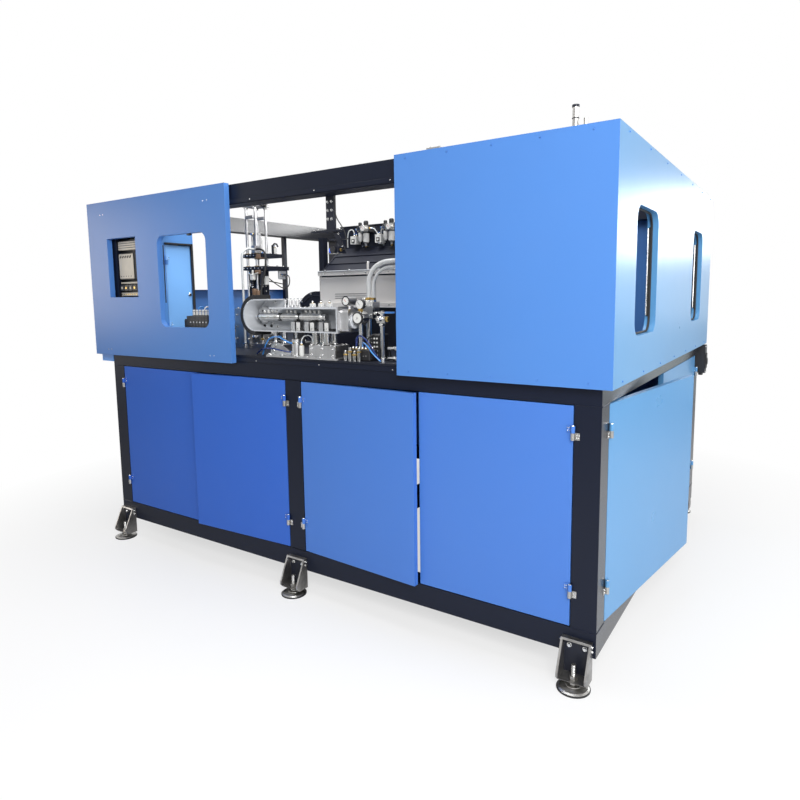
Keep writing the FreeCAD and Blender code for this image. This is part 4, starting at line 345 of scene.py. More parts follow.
class Piece:
    """One mesh put together from turned, milled and bent solids."""

    def __init__(self):
        self.mesh = bmesh.new()
        self.finishes = []

    def loft(self, finish, rings, closed=True):
        """A skin over rings of equal count, with its two ends closed."""
        if finish not in self.finishes:
            self.finishes.append(finish)
        rows = [[self.mesh.verts.new(point) for point in ring] for ring in rings]
        faces = []
        for near, far in zip(rows, rows[1:]):
            for index, point in enumerate(near):
                after = (index + 1) % len(near)
                faces.append(self.mesh.faces.new((point, near[after], far[after], far[index])))
        if closed:
            faces.append(self.mesh.faces.new(rows[0][::-1]))
            faces.append(self.mesh.faces.new(rows[-1]))
        for face in faces:
            face.material_index = self.finishes.index(finish)
            face.smooth = True

    def block(self, finish, low, high, edge=0.002):
        """A box with chamfered edges."""
        low, high = Vector(low), Vector(high)
        edge = min(edge, *[span * 0.4 for span in high - low])
        rings = []
        for height, inset in ((low.z, edge), (low.z + edge, 0), (high.z - edge, 0),
                              (high.z, edge)):
            x0, x1, y0, y1 = low.x + inset, high.x - inset, low.y + inset, high.y - inset
            rings.append([(x, y, height) for x, y in (
                (x0 + edge, y0), (x1 - edge, y0), (x1, y0 + edge), (x1, y1 - edge),
                (x1 - edge, y1), (x0 + edge, y1), (x0, y1 - edge), (x0, y0 + edge))])
        self.loft(finish, rings)

    def blocks(self, finish, corners, edge=0.002):
        """Boxes of one finish, each given by its two corners."""
        for low, high in corners:
            self.block(finish, low, high, edge)

    def turned(self, finish, at, axis, profile, steps=20, lift=0.0):
        """Solids of revolution from (radius, distance) pairs along an axis."""
        turn = along_axis(axis)
        for place in vectors(at):
            self.loft(finish, [[place + turn @ (point + Vector((0, 0, lift + distance)))
                                for point in circle(radius, steps)]
                               for radius, distance in profile])

    def drum(self, finish, at, axis, radius, length, edge=0.001, steps=20):
        """Cylinders with chamfered rims."""
        edge = min(edge, radius * 0.3, length * 0.3)
        self.turned(finish, at, axis, [(radius - edge, 0), (radius, edge),
                                       (radius, length - edge), (radius - edge, length)], steps)

    def hoop(self, finish, at, axis, radius, wire, steps=28):
        """Rings of round wire."""
        turn = along_axis(axis)
        for place in vectors(at):
            rings = []
            for out in circle(1, steps) + [Vector((1, 0, 0))]:
                rings.append([place + turn @ (out * (radius + point.x) + Vector((0, 0, point.y)))
                              for point in circle(wire, 8)])
            self.loft(finish, rings, closed=False)

    def bar(self, finish, points, radius, sides=8):
        """A round bar along straight runs, mitred where it bends."""
        points = vectors(points)
        rings = []
        for number, point in enumerate(points):
            before, after = points[max(number - 1, 0)], points[min(number + 1, len(points) - 1)]
            turn = along_axis(after - before)
            rings.append([point + turn @ rim for rim in circle(radius, sides)])
        self.loft(finish, rings)

    def rods(self, finish, at, way, radius, sides=8):
        """Straight round bars along a vector."""
        for place in vectors(at):
            self.bar(finish, [place, place + Vector(way)], radius, sides)

    def spokes(self, finish, centre, near, far, angles, wire, sides=5):
        """Round bars that point outwards from a centre, in the X-Z plane."""
        for ends in zip(around(centre, near, angles), around(centre, far, angles)):
            self.bar(finish, list(ends), wire, sides)

    def weld(self, starts, way, length):
        """Weld beads with their ripples along straight corners."""
        wire, ripple = 0.0034, 0.009
        steps = int(length / ripple)
        turn = along_axis(way)
        for start in vectors(starts):
            self.loft(FRAME_PAINT, [
                [start + Vector(way) * length * step / steps + turn @ rim
                 for rim in circle(wire * (0.86 + 0.16 * (step % 2)), 6)]
                for step in range(steps + 1)])

    def plate(self, finish, outline, way):
        """A flat plate: an outline of points, thickened along a vector."""
        self.loft(finish, [vectors(outline), moved(outline, *way)])

    def hexagon(self, finish, at, axis, radius, height, lift=0.0):
        self.turned(finish, at, axis, [(radius * 0.9, 0), (radius, height * 0.12),
                                       (radius, height * 0.8), (radius * 0.88, height)], 6, lift)

    def bolt(self, at, axis, size, finish=BRIGHT):
        """A washer, a hexagon head and the tip of its thread."""
        self.drum(finish, at, axis, size * 1.25, size * 0.2, size * 0.06)
        self.hexagon(finish, at, axis, size, size * 0.8, size * 0.2)

    def screw(self, at, axis, size, finish=BRIGHT):
        """A round socket head with its recess."""
        self.turned(finish, at, axis, [
            (size, 0), (size, size * 0.8), (size * 0.85, size), (size * 0.5, size),
            (size * 0.45, size * 0.5), (0.00001, size * 0.5)], 16)

    def fitting(self, at, axis, size, collar=BLUE_PLASTIC):
        """A push-in air fitting: hexagon, barrel and release collar."""
        self.hexagon(BRASS if size < 0.006 else BRIGHT, at, axis, size * 1.25, size)
        self.turned(BRIGHT, at, axis, [
            (size, 0), (size, size * 1.4), (size * 0.85, size * 1.6)], 16, size)
        self.turned(collar, at, axis, [
            (size * 0.7, 0), (size * 1.05, size * 0.15), (size * 1.05, size * 0.5),
            (size * 0.8, size * 0.6)], 16, size * 2.6)

    def done(self, name, body="machine"):
        """Hand the piece over: it takes its finish from a slot and rides on a body."""
        bmesh.ops.recalc_face_normals(self.mesh, faces=self.mesh.faces)
        mesh = bpy.data.meshes.new(name)
        self.mesh.to_mesh(mesh)
        self.mesh.free()
        mesh.set_sharp_from_angle(angle=math.radians(38))
        for finish in self.finishes:
            mesh.materials.append(finish)
        piece = bpy.data.objects.new(name, mesh)
        SCENE.objects.link(piece)
        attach(piece, body)


def spline_length(curve):
    """The length of a curve's own line."""
    probe = bpy.data.objects.new("Probe", curve)
    SCENE.objects.link(probe)
    bpy.context.view_layer.update()
    line = bpy.data.meshes.new_from_object(probe.evaluated_get(
        bpy.context.evaluated_depsgraph_get()))
    length = sum((line.vertices[a].co - line.vertices[b].co).length
                 for a, b in (edge.vertices for edge in line.edges))
    bpy.data.meshes.remove(line)
    bpy.data.objects.remove(probe)
    return length


def cord(name, start, steps, diameter, finish, body="machine", length=None,
         node=None):
    """A hose or cable through points given as steps from its start."""
    curve = bpy.data.curves.new(name, "CURVE")
    curve.dimensions = "3D"
    spline = curve.splines.new("NURBS")
    spline.points.add(len(steps))
    for point, step in zip(spline.points, [(0, 0, 0), *steps]):
        point.co = (*(Vector(start) + Vector(step)), 1)
    spline.order_u = 3
    spline.use_endpoint_u = True
    spline.resolution_u = 16
    length = length or round(spline_length(curve), 3)
    curve.bevel_depth = diameter / 2
    curve.bevel_resolution = 4
    curve.use_fill_caps = True
    curve.materials.append(finish)
    line = bpy.data.objects.new(name, curve)
    SCENE.objects.link(line)
    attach(line, body)
    if node:
        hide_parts(node)


# ---------------------------------------------------------------- hoses

cord("AirHose", (0.292, -0.862, 1.474), [
    (0, 0, 0.052), (0, 0, 0.104), (0.028, 0, 0.152), (0.078, 0, 0.179), (0.14, 0, 0.186),
    (0.399, 0, 0.186)], 0.024, AIR_HOSE, length=0.526, node="air_hose")
cord("DrainHose", (0.32, -0.862, 1.474), [
    (0, 0, 0.04), (0, 0, 0.088), (0.024, 0, 0.13), (0.068, 0, 0.154), (0.126, 0, 0.159),
    (0.371, 0, 0.159)], 0.016, AIR_HOSE, length=0.477, node="drain_hose")
cord("TowerHose", (-0.662, -0.705, 1.777), [
    (0, -0.0183, 0), (0, -0.0486, 0), (0, -0.0749, -0.0151), (0, -0.09, -0.0414),
    (0, -0.09, -0.0717), (0, -0.09, -0.56)],
     0.014, CLEAR_TUBE, length=0.623, node="tower_hose")
cord("HeadCable", (-0.648, -0.691, 1.777), [
    (0.05, 0, 0), (0.084, -0.008, -0.042), (0.092, -0.024, -0.13), (0.07, -0.044, -0.23),
    (0.086, -0.059, -0.32), (0.081, -0.059, -0.41), (0.081, -0.059, -0.534)],
     0.012, RUBBER, length=0.599, node="head_cable")


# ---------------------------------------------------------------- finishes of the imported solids

FINISH = {
    BLUE: "right_front_panel rear_upper_panel left_end_wall sliding_door air_receiver",
    DOOR_BLUE_SHADED: "door_3 door_4 lower_infill_panels",
    FAR_DOOR_BLUE_DEEP_SHADE: "door_1 door_2",
    CABINET_BLUE_LIT: "cabinet",
    HATCH_BLUE_LIT: "cabinet_hatch",
    END_BLUE_LIT: "right_end_wall door_5 door_6",
    FRAME_PAINT: "bottom_beams lower_posts deck_beams upper_posts top_beams door_tracks",
    DECK_PAINT: "deck_plate",
    OVEN_GREY: "oven",
    BLACK_PAINT: "oven_hood oven_stand valve_board blower seal_head stretch_plate sensor_arm",
    BEIGE_PAINT: "mount_plate",
    STEEL: "fixed_hinges vent_pipes levelling_feet regulators",
    FOOT_STEEL: "foot_brackets",
    ALUMINIUM: ("mould_left mould_right clamp_frame tower_frame stretch_cylinder lift_base "
                "transfer_fittings"),
    PALE_GREY: "transfer_tray",
    BRIGHT: "gripper_bar guide_rods air_fittings tap_lever pressure_gauges",
    BLACK: "door_glides switchgear regulator_knob_1 regulator_knob_2 socket_box",
    WHITE: "valve_boxes",
    RUBBER: "transfer_belt head_cable",
    AIR_HOSE: "air_hose drain_hose tower_hose",
}
for finish, names in FINISH.items():
    for name in names.split():
        NODES[name].data.materials.clear()
        NODES[name].data.materials.append(finish)


def repaint(node, finish, low, high):
    """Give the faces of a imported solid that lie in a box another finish."""
    mesh = NODES[node].data
    mesh.materials.append(finish)
    for face in mesh.polygons:
        if all(a - 0.0005 <= c <= b + 0.0005 for a, c, b in zip(low, face.center, high)):
            face.material_index = len(mesh.materials) - 1


FOOT_PLACES = list(itertools.product((-1.43, 0.0, 1.43), (-1, 1)))
for low, high in ((1.768, 1.852), (1.610, 1.767), (1.435, 1.515)):
    repaint("switchgear", BEIGE, (-1.6, -1.0, low), (-1.1, -0.9, high))
repaint("valve_boxes", BLACK, (-0.86, -1.08, 1.19), (-0.65, -1.0, 1.396))
# The inner back plate of each foot bracket is painted black: it stands for the dark beam behind the
# bracket's open back, plus painted shade inside the bracket.
for x, side in FOOT_PLACES:
    low, high = sorted((side * 1.1155, side * 1.1175))
    repaint("foot_brackets", BLACK_PAINT, (x - 0.052, low, 0.038), (x + 0.052, high, 0.178))
# Painted sheen: the frame's right end faces take the lighter, glossier frame paint.
for node in ("lower_posts", "bottom_beams", "deck_beams"):
    repaint(node, FRAME_SHEEN, (1.4990, -1.2, 0.0), (1.5020, 1.2, 1.2))
repaint("fixed_hinges", BLUE, (-1.10, -1.06, 1.25), (-1.0, -0.99, 1.8))
# Painted sheen on the left top beam's inner face.
repaint("top_beams", FRAME_SHEEN, (-1.4005, -1.0, 1.96), (-1.3995, 1.06, 2.07))


# ---------------------------------------------------------------- levels of the machine

DECK = 1.197
TOWER = Vector((-0.7, -0.635, 0))
RODS = every((-0.738, -0.662), (-0.677, -0.593), 0)
HINGE_LEVELS = (0.368, 0.982)
# The four screws of a hinge's leaf: how far out from the pin and how far along it.
LEAF = list(itertools.product((0.0135, 0.0205), (0.008, 0.019)))


# ---------------------------------------------------------------- feet

feet = Piece()
for x in (-1.43, 0.0, 1.43):
    for side in (-1, 1):
        y = side * 1.15256
        thread = [(0.0088 + 0.0011 * (step % 2), 0.0012 * step) for step in range(1, 36)]
        feet.turned(BRIGHT, (x, y, 0.0545), "z", thread, 14)
        feet.hexagon(STEEL, (x, y, 0.0195), "z", 0.0165, 0.0115)
        feet.turned(RUBBER, (x, y, 0.0), "z", [(0.06, 0), (0.0635, 0.001), (0.064, 0.006),
            (0.062, 0.0075)], 36)
        feet.hoop(STEEL, (x, y, 0.0165), "z", 0.027, 0.0016)
        for level in (0.152, 0.17):
            for flank, way in ((0.058, "x"), (-0.058, "-x")):
                feet.screw((x + flank, side * 1.1245, level), way, 0.0052)
        for across in (-0.03, 0.03):
            feet.bolt((x + across, side * 1.1163, 0.15), "-y" if side < 0 else "y", 0.0075)
feet.done("FootHardware")


# ---------------------------------------------------------------- lower doors

def dress_door(number, hinge, side, facing, ajar, width, body):
    """Stiffening ribs, leaf screws and a magnet plate, in the door's own lines."""
    piece = Piece()
    start, end = sorted((0.008 * side, (width - 0.006) * side))
    for level in (0.4, 0.65, 0.9):
        piece.loft(FRAME_PAINT, [[(x, y, level + z) for y, z in (
            (0.0106, -0.03), (0.0106, 0.03), (0.0126, 0.028), (0.0246, 0.018),
            (0.0246, -0.018), (0.0126, -0.028))] for x in (start, end)])
    for level in HINGE_LEVELS:
        for reach, rise in LEAF:
            piece.screw((reach * side, 0.006, level + rise), "-y", 0.0021)
        piece.turned(BRIGHT, (0, 0, level + 0.027), "z", [(0.0074, 0), (0.0066, 0.0022),
                                                          (0.0001, 0.0026)], 16)
    free = (width - 0.028) * side
    piece.block(STEEL, (free - 0.02, 0.03, 0.965), (free + 0.02, 0.0352, 1.005), 0.0012)
    turn = Matrix.Rotation(math.radians(facing - ajar * side), 4, "Z")
    bmesh.ops.transform(piece.mesh, verts=piece.mesh.verts,
                        matrix=Matrix.Translation((*hinge, 0)) @ turn)
    piece.done("Door%dFittings" % number, body)


DOORS = [(1, (-1.398, -1.121), 1, 0, 0, 0.669, "front_door_1"),
         (2, (-0.052, -1.121), -1, 0, 3, 0.669, "front_door_2"),
         (3, (0.052, -1.121), 1, 0, 3.5, 0.669, "front_door_3"),
         (4, (1.398, -1.121), -1, 0, 0, 0.669, "front_door_4"),
         (5, (1.509, -1.01), 1, 90, 8, 1.004, "end_door_5"),
         (6, (1.509, 1.01), -1, 90, 0, 1.004, "end_door_6")]
post_screws = Piece()
for number, (x, y), side, facing, ajar, width, body in DOORS:
    dress_door(number, (x, y), side, facing, ajar, width, body)
    for level in HINGE_LEVELS:
        for reach, drop in LEAF:
            if facing:
                post_screws.screw((x - 0.006, y - reach * side, level - drop), "x", 0.0021)
            else:
                post_screws.screw((x - reach * side, y + 0.006, level - drop), "-y", 0.0021)
post_screws.done("HingeScrews")


# ---------------------------------------------------------------- frame

RAILS = (0.2195, 1.0875)
UPPER_RAILS = (1.1975, 1.9645)
beads = Piece()
beads.weld(every((-1.498, -0.048), (-1.111, 1.111), RAILS), (1, 0, 0), 0.096)
beads.weld(every((0.048, 1.498), (-1.111, 1.111), RAILS), (-1, 0, 0), 0.096)
beads.weld(every((-1.499, 1.499), (-1.11, 1.012), RAILS + UPPER_RAILS), (0, 1, 0), 0.096)
beads.weld(every((-1.498, 1.402), -1.111, UPPER_RAILS), (1, 0, 0), 0.094)
beads.done("WeldBeads")

screws = Piece()
screws.screw(row(every(0.7, -1.152, (1.175, 2.05)), 5, x=0.19), "-y", 0.0034, BLUE)
screws.screw(row(every(1.545, -1.02, (1.172, 2.054)), 7, y=0.34), "x", 0.0034, BLUE)
screws.screw(row((-1.545, -0.74, 1.172), 5, y=0.28), "-x", 0.0034, BLUE)
screws.screw(row(every(0.05, 1.152, (1.175, 2.05)), 6, x=0.28), "y", 0.0034, BLUE)
screws.done("PanelScrews")

track = Piece()
for level in (1.173, 1.979):
    track.screw(row((0.6, -1.118, level), 6, x=-0.42), "-y", 0.0032)
    for x in (-1.496, 0.634):
        track.block(STEEL, (x - 0.004, -1.119, level - 0.012), (x + 0.012, -1.1125, level + 0.012),
            0.001)
track.done("TrackScrews")

door = Piece()
for x in (-1.468, -0.536):
    for level in (1.1895, 1.9955):
        for across in (-0.016, 0.016):
            door.screw((x + across, -1.15, level), "-y", 0.003)
door.loft(RUBBER, [[(x, y, z) for x, y in ((-0.9375, -1.1265), (-0.9345, -1.1265),
    (-0.9345, -1.1215), (-0.9375, -1.1215))] for z in (1.47, 1.79)])
door.block(BLACK, (-0.7, -1.1485, 1.828), (-0.676, -1.13, 1.8395))
door.hexagon(BRIGHT, row(every((-1.598, -0.41), -1.119, 1.2), 4, z=0.83 / 3), "y", 0.0042, 0.004)
door.done("SlidingDoorFittings", "sliding_door")


# ---------------------------------------------------------------- cabinet

PLATE = -0.922
gear = Piece()
for level, height, reach, count, width in ((0.573, 0.08, 0.055, 7, 0.045),
        (0.35, 0.044, 0.055, 5, 0.062), (0.24, 0.076, 0.055, 8, 0.045)):
    face = PLATE - 0.008 - reach
    for number in range(count):
        x = -1.592 + (width + 0.012) * number
        low = DECK + level
        tall = height > 0.06
        gear.block(BEIGE if tall else BLACK, (x + 0.004, face - 0.007, low + height * 0.26),
            (x + width - 0.004, face + 0.002, low + height * 0.76))
        gear.block(BLACK if tall else WHITE, (x + width * 0.38, face - 0.014, low + height * 0.42),
            (x + width * 0.62, face - 0.005, low + height * 0.62))
        for across in (0.25, 0.5, 0.75):
            for part in (0.1, 0.9):
                gear.drum(BRASS, (x + width * across, face + 0.0004, low + height * part), "-y",
                    0.0036, 0.0018, 0.0005, 12)
for number in range(2):
    x, low, face = (-1.592 + 0.2 * number, DECK + 0.416, PLATE - 0.07)
    for left, right, down, rise in ((-0.007, 0.004, 0.004, 0.148), (0.184, 0.195, 0.004, 0.148),
            (0.004, 0.184, -0.004, 0.005), (0.004, 0.184, 0.147, 0.156)):
        gear.block(BLACK, (x + left, face + 0.001, low + down),
            (x + right, face + 0.052, low + rise))
    gear.block(BEIGE, (x + 0.01, face - 0.008, low + 0.028), (x + 0.178, face + 0.002, low + 0.12),
        0.005)
    gear.block(BLACK, (x + 0.096, face - 0.0105, low + 0.06),
        (x + 0.15, face - 0.007, low + 0.104))
    gear.drum(WHITE, row((x + 0.103, face - 0.01, low + 0.048), 5, x=0.01), "-y", 0.0034, 0.0016,
        0.0004, 12)
    for place in row((x + 0.02, face + 0.0005, low + 0.134), 9, x=0.018):
        gear.block(BLACK, place - Vector((0.005, 0.0016, 0.004)),
            place + Vector((0.005, 0.001, 0.004)), 0.0008)
    gear.drum(BRASS, row((x + 0.02, face + 0.0005, low + 0.014), 9, x=0.018), "-y", 0.004, 0.0018,
        0.0005, 12)
    for place in row((x + 0.024, face - 0.0078, low + 0.04), 6, z=0.012):
        gear.block(BLACK, place, place + Vector((0.05, 0.001, 0.004)), 0.0004)
gear.done("SwitchgearFaces")

unit = Piece()
unit.block(BLACK, (-1.399, -1.078, 1.508), (-1.185, -1.07, 1.85))
unit.block(BEIGE, (-1.3975, -1.102, 1.783), (-1.19, -1.077, 1.837), 0.003)
for level in (1.796, 1.809, 1.822):
    unit.block(BLACK, (-1.396, -1.1032, level), (-1.194, -1.101, level + 0.003), 0.0008)
unit.block(BLACK, (-1.3985, -1.095, 1.603), (-1.244, -1.077, 1.774), 0.01)
unit.block(BEIGE, (-1.393, -1.106, 1.612), (-1.257, -1.093, 1.764), 0.012)
for number in range(5):
    unit.bar(BLACK, [(-1.376 + 0.024 * number, -1.1064, 1.738),
        (-1.364 + 0.024 * number, -1.1064, 1.75)], 0.0034, 8)
    unit.drum(BLACK, (-1.373 + 0.024 * number, -1.1052, 1.629), "-y", 0.0036, 0.0014, 0.0004, 12)
unit.block(BEIGE, (-1.3975, -1.096, 1.584), (-1.19, -1.077, 1.596))
for number in range(5):
    x = -1.3975 + 0.042 * number
    unit.block(BLACK, (x, -1.104, 1.54), (x + 0.038, -1.077, 1.581), 0.004)
    unit.block(BRASS if number % 2 else BEIGE, (x + 0.012, -1.1062, 1.553),
        (x + 0.026, -1.103, 1.568))
unit.block(BEIGE, (-1.3975, -1.098, 1.511), (-1.19, -1.077, 1.533))
unit.drum(BRASS, row((-1.39, -1.0982, 1.522), 10, x=0.021), "-y", 0.004, 0.0016, 0.0005, 12)
unit.done("OperatorUnit")


def window_trim(piece, low, high):
    """A rubber strip that runs round inside a window of the right end wall."""
    x, radius, wire = 1.518, 0.056, 0.005
    left, right, bottom, top = (low[0] + radius, high[0] - radius, low[1] + radius,
                                high[1] - radius)
    points = []
    for y, z, turn in ((right, top, 0), (left, top, 90), (left, bottom, 180), (right, bottom, 270)):
        points += around((x, y, z), radius, [turn + 15 * step for step in range(7)], "yz")
    for number, point in enumerate(points):
        piece.bar(RUBBER, [point, points[(number + 1) % len(points)]], wire, 6)


trim = Piece()
for front, back in ((-0.862, -0.478), (0.457, 0.79)):
    window_trim(trim, (front + 0.004, 1.329), (back - 0.004, 1.823))
    trim.bar(BRIGHT, [(1.504, back - 0.003, 1.395), (1.504, back - 0.003, 1.765)], 0.0036)
    trim.bar(RUBBER, [(1.51, back - 0.003, 1.39), (1.51, back - 0.003, 1.77)], 0.0034)
trim.done("EndWindowTrim")

ducts = Piece()
for level in (1.5935, 1.8555):
    ducts.block(PALE_GREY, (-1.595, -0.966, level), (-1.075, -0.9225, level + 0.016))
    for place in row((-1.588, -0.9666, level + 0.003), 36, x=0.014):
        ducts.block(BLACK, place, place + Vector((0.004, 0.001, 0.01)), 0.0004)
for x in (-1.0955, -1.5975):
    ducts.block(PALE_GREY, (x, -0.966, 1.25), (x + 0.02, -0.9225, 1.592))
ducts.done("WiringDucts")

for number, (x, fall) in enumerate(((-1.575, 0.02), (-1.53, 0.026), (-1.484, 0.022),
        (-1.418, 0.018), (-1.372, 0.024), (-1.326, 0.02))):
    cord("CabinetWire%d" % number, (x, -0.99, 1.7665),
        [(0.001, -0.012, 0.004), (0.006, -0.016, fall), (0.011, -0.004, fall + 0.014),
        (0.014, 0.03, fall + 0.02)], 0.003, BLACK if number % 2 else DARK_TUBE)

seals = Piece()
seals.blocks(RUBBER, [((-1.0525, -1.032, 1.8075), (-1.04, -0.838, 1.8185)),
    ((-1.0525, -0.8485, 1.2345), (-1.04, -0.834, 1.8185)),
    ((-1.0525, -1.04, 1.225), (-1.044, -0.834, 1.236))])
seals.done("HatchSeals")
lock = Piece()
lock.drum(BRIGHT, (-1.052, -0.868, 1.515), "x", 0.011, 0.007, 0.0015)
lock.block(BLACK, (-1.0455, -0.869, 1.508), (-1.0435, -0.867, 1.522), 0.0005)
for level in (1.33, 1.714):
    for reach, rise in LEAF:
        lock.screw((-1.049, -1.0255 + reach, level + rise), "x", 0.0021)
lock.blocks(BLUE, [((-1.064, -1.01, 1.3), (-1.0545, -0.87, 1.33)),
    ((-1.064, -1.01, 1.72), (-1.0545, -0.87, 1.75))], 0.003)
lock.done("HatchLock", "cabinet_hatch")


# ---------------------------------------------------------------- tower and mould

tower = Piece()
tower.hexagon(BRIGHT, moved(RODS, z=1.4292), "z", 0.0135, 0.0065)
tower.hexagon(BRIGHT, moved(RODS, z=2.017), "z", 0.0135, 0.0098)
tower.hexagon(BRIGHT, moved(RODS, z=2.0578), "z", 0.0095, 0.006)
tower.bolt(row(every(-0.746, (-0.763, -0.507), 1.4292), 3, x=0.046), "z", 0.0068)
tower.screw(row(every((-0.746, -0.654), -0.7752, 1.25), 3, z=0.07), "-y", 0.0052)
tower.screw((-0.676, -0.684, 1.79), "-x", 0.0036)
tower.drum(BLACK, (-0.644, -0.635, 2.036), "x", 0.013, 0.03, 0.004)
tower.drum(BRIGHT, (-0.7, -0.635, 2.0452), "z", 0.015, 0.012, 0.002)
tower.blocks(ALUMINIUM, [((-0.734, -0.6925, 1.958), (-0.666, -0.67, 1.976)),
    ((-0.734, -0.6, 1.958), (-0.666, -0.58, 1.976))])
tower.hexagon(BRIGHT, (-0.662, -0.7954, 1.2172), "z", 0.0125, 0.012)
tower.hexagon(BRASS, (-0.567, -0.75, 1.2432), "z", 0.0115, 0.01)
tower.done("TowerHardware")

clamp = Piece()
clamp.bolt(twice(row((-1.01, -0.762, 1.2232), 7, x=0.103), y=0.254), "z", 0.007)
for side in (-1, 1):
    mouth, end = (TOWER.x + 0.19 * side, TOWER.x + 0.33 * side)
    for y, z in ((-0.03, 1.236), (0.03, 1.236), (-0.03, 1.302), (0.03, 1.302)):
        clamp.screw((mouth, TOWER.y + y, z), "-x" if side > 0 else "x", 0.0046)
        clamp.bar(BRIGHT, [(mouth - 0.004 * side, TOWER.y + y * 1.42, z),
            (end + 0.003 * side, TOWER.y + y * 1.42, z)], 0.0042)
    for x in (mouth + 0.004 * side, end - 0.016 * side):
        low, high = sorted((x, x + 0.012 * side))
        clamp.block(BLACK, (low, TOWER.y - 0.0465, 1.2245), (high, TOWER.y + 0.0465, 1.3175))
    for across in (0.022, 0.112):
        clamp.fitting((mouth + across * side, TOWER.y, 1.315), "z", 0.0065)
    clamp.hoop(RUBBER, (mouth - 0.0015 * side, TOWER.y, 1.275), "x", 0.014, 0.0022)
clamp.done("ClampHardware")

for name, body, side in (("Left", "mould_left", -1), ("Right", "mould_right", 1)):
    mould = Piece()
    outer = TOWER.x + 0.1025 * side
    for y in (-0.072, -0.03, 0.03, 0.072):
        mould.bolt(every(outer, TOWER.y + y, (1.25, 1.38)), "x" if side > 0 else "-x", 0.0065)
    inner = TOWER.x + 0.01 * side
    for across, level in ((0.028, 1.262), (0.044, 1.262), (0.028, 1.366), (0.044, 1.366)):
        mould.fitting((inner + across * side, TOWER.y - 0.09, level), "-y", 0.006,
            RED if level > 1.3 else BLUE_PLASTIC)
    for across in (0.02, 0.072):
        mould.screw((TOWER.x + across * side, TOWER.y - 0.09, 1.314), "-y", 0.006)
        for y in (-0.07, 0.07):
            mould.screw((TOWER.x + across * side, TOWER.y + y, 1.395), "z", 0.0055)
    low, high = sorted((TOWER.x + 0.034 * side, TOWER.x + 0.07 * side))
    mould.block(STEEL, (low, TOWER.y - 0.0928, 1.302), (high, TOWER.y - 0.0898, 1.326), 0.001)
    mould.done("Mould%sFittings" % name, body)

stretch = Piece()
stretch.hoop(BRASS, moved(RODS, z=1.752) + moved(RODS, z=1.728), "z", 0.0118, 0.003)
stretch.rods(BRIGHT, every((-0.7205, -0.6795), (-0.6555, -0.6145), 1.752), (0, 0, 0.127), 0.0032)
stretch.hexagon(STEEL, every((-0.7205, -0.6795), (-0.6555, -0.6145), 1.875), "z", 0.0058, 0.0055)
for level in (1.751, 1.862):
    stretch.block(BLACK, (TOWER.x - 0.0265, TOWER.y - 0.0265, level + 0.0006),
        (TOWER.x + 0.0265, TOWER.y + 0.0265, level + 0.0128), 0.003)
stretch.fitting((TOWER.x, TOWER.y - 0.0265, 1.868), "-y", 0.0058)
stretch.fitting((TOWER.x + 0.0265, TOWER.y, 1.758), "x", 0.0058)
stretch.blocks(TAN, [((-0.648, -0.701, 1.7185), (-0.61, -0.6935, 1.7455)),
    ((-0.648, -0.6935, 1.7185), (-0.61, -0.66, 1.7285))])
stretch.turned(BLACK, (-0.7, -0.635, 1.7185), "z",
    [(0.01, 0), (0.017, 0.002), (0.017, 0.008), (0.013, 0.0104)])
stretch.screw(row((-0.75, -0.6933, 1.74), 6, x=0.027), "-y", 0.004)
for place in ((-0.618, -0.56), (-0.618, -0.61), (-0.745, -0.56)):
    stretch.bolt((*place, 1.7512), "z", 0.0062)
stretch.block(BLACK_PAINT, (-0.626, -0.59, 1.7515), (-0.614, -0.578, 1.805))
stretch.bar(BLACK_PAINT, [(-0.62, -0.584, 1.8), (-0.604, -0.584, 1.812), (-0.586, -0.584, 1.808),
    (-0.578, -0.584, 1.792)], 0.0048)
stretch.drum(WHITE, (-0.64, -0.545, 1.7512), "z", 0.011, 0.04, 0.002)
stretch.fitting((-0.64, -0.545, 1.79), "z", 0.005)
stretch.done("StretchFittings", "stretch_unit")

head = Piece()
head.hoop(BRASS, moved(RODS, z=1.677), "z", 0.0118, 0.003)
head.screw(row((-0.75, -0.6973, 1.665), 6, x=0.03), "-y", 0.004)
for x in (-0.705, -0.625):
    head.drum(BRIGHT, (x, -0.677, 1.552), "z", 0.007, 0.0105, 0.001)
    head.hoop(BRIGHT, [(x, -0.677, 1.644), (x, -0.677, 1.57)], "z", 0.0122, 0.0016)
    head.fitting((x, -0.6888, 1.636), "-y", 0.0048)
head.turned(TAN, (-0.672, -0.692, 1.4805), "z", [(0.015, 0), (0.019, 0.004), (0.019, 0.026),
    (0.0165, 0.03), (0.019, 0.034), (0.019, 0.06), (0.014, 0.064)])
head.turned(TAN, (-0.648, -0.688, 1.4805), "z", [(0.012, 0), (0.015, 0.004), (0.015, 0.05),
    (0.011, 0.054)])
head.block(BLACK_PAINT, (-0.745, -0.665, 1.478), (-0.64, -0.664, 1.56), 0.0004)
head.block(WHITE, (-0.69, -0.714, 1.595), (-0.662, -0.689, 1.632), 0.003)
head.drum(WHITE, (-0.676, -0.701, 1.632), "z", 0.006, 0.0225, 0.001)
head.block(TAN, (-0.656, -0.706, 1.63), (-0.612, -0.6972, 1.6535))
head.block(WHITE, (-0.618, -0.67, 1.565), (-0.6015, -0.64, 1.618), 0.003)
head.screw(every(-0.64, -0.635, (1.5, 1.53, 1.56)), "x", 0.006)
head.fitting(every(-0.64, -0.65, (1.592, 1.62)), "x", 0.005, BLACK)
for place in ((-0.6, -0.52), (-0.6, -0.57), (-0.745, -0.52), (-0.6, -0.65)):
    head.bolt((*place, 1.6762), "z", 0.0062)
head.block(PALE_GREY, (-0.61, -0.56, 1.6), (-0.595, -0.5, 1.6538), 0.003)
head.fitting(every(-0.595, (-0.548, -0.53, -0.512), 1.628), "x", 0.0045)
head.turned(BRIGHT, (-0.7, -0.635, 1.463), "z", [(0.007, 0), (0.0125, 0.003), (0.0125, 0.0128)])
head.done("HeadFittings", "seal_head")

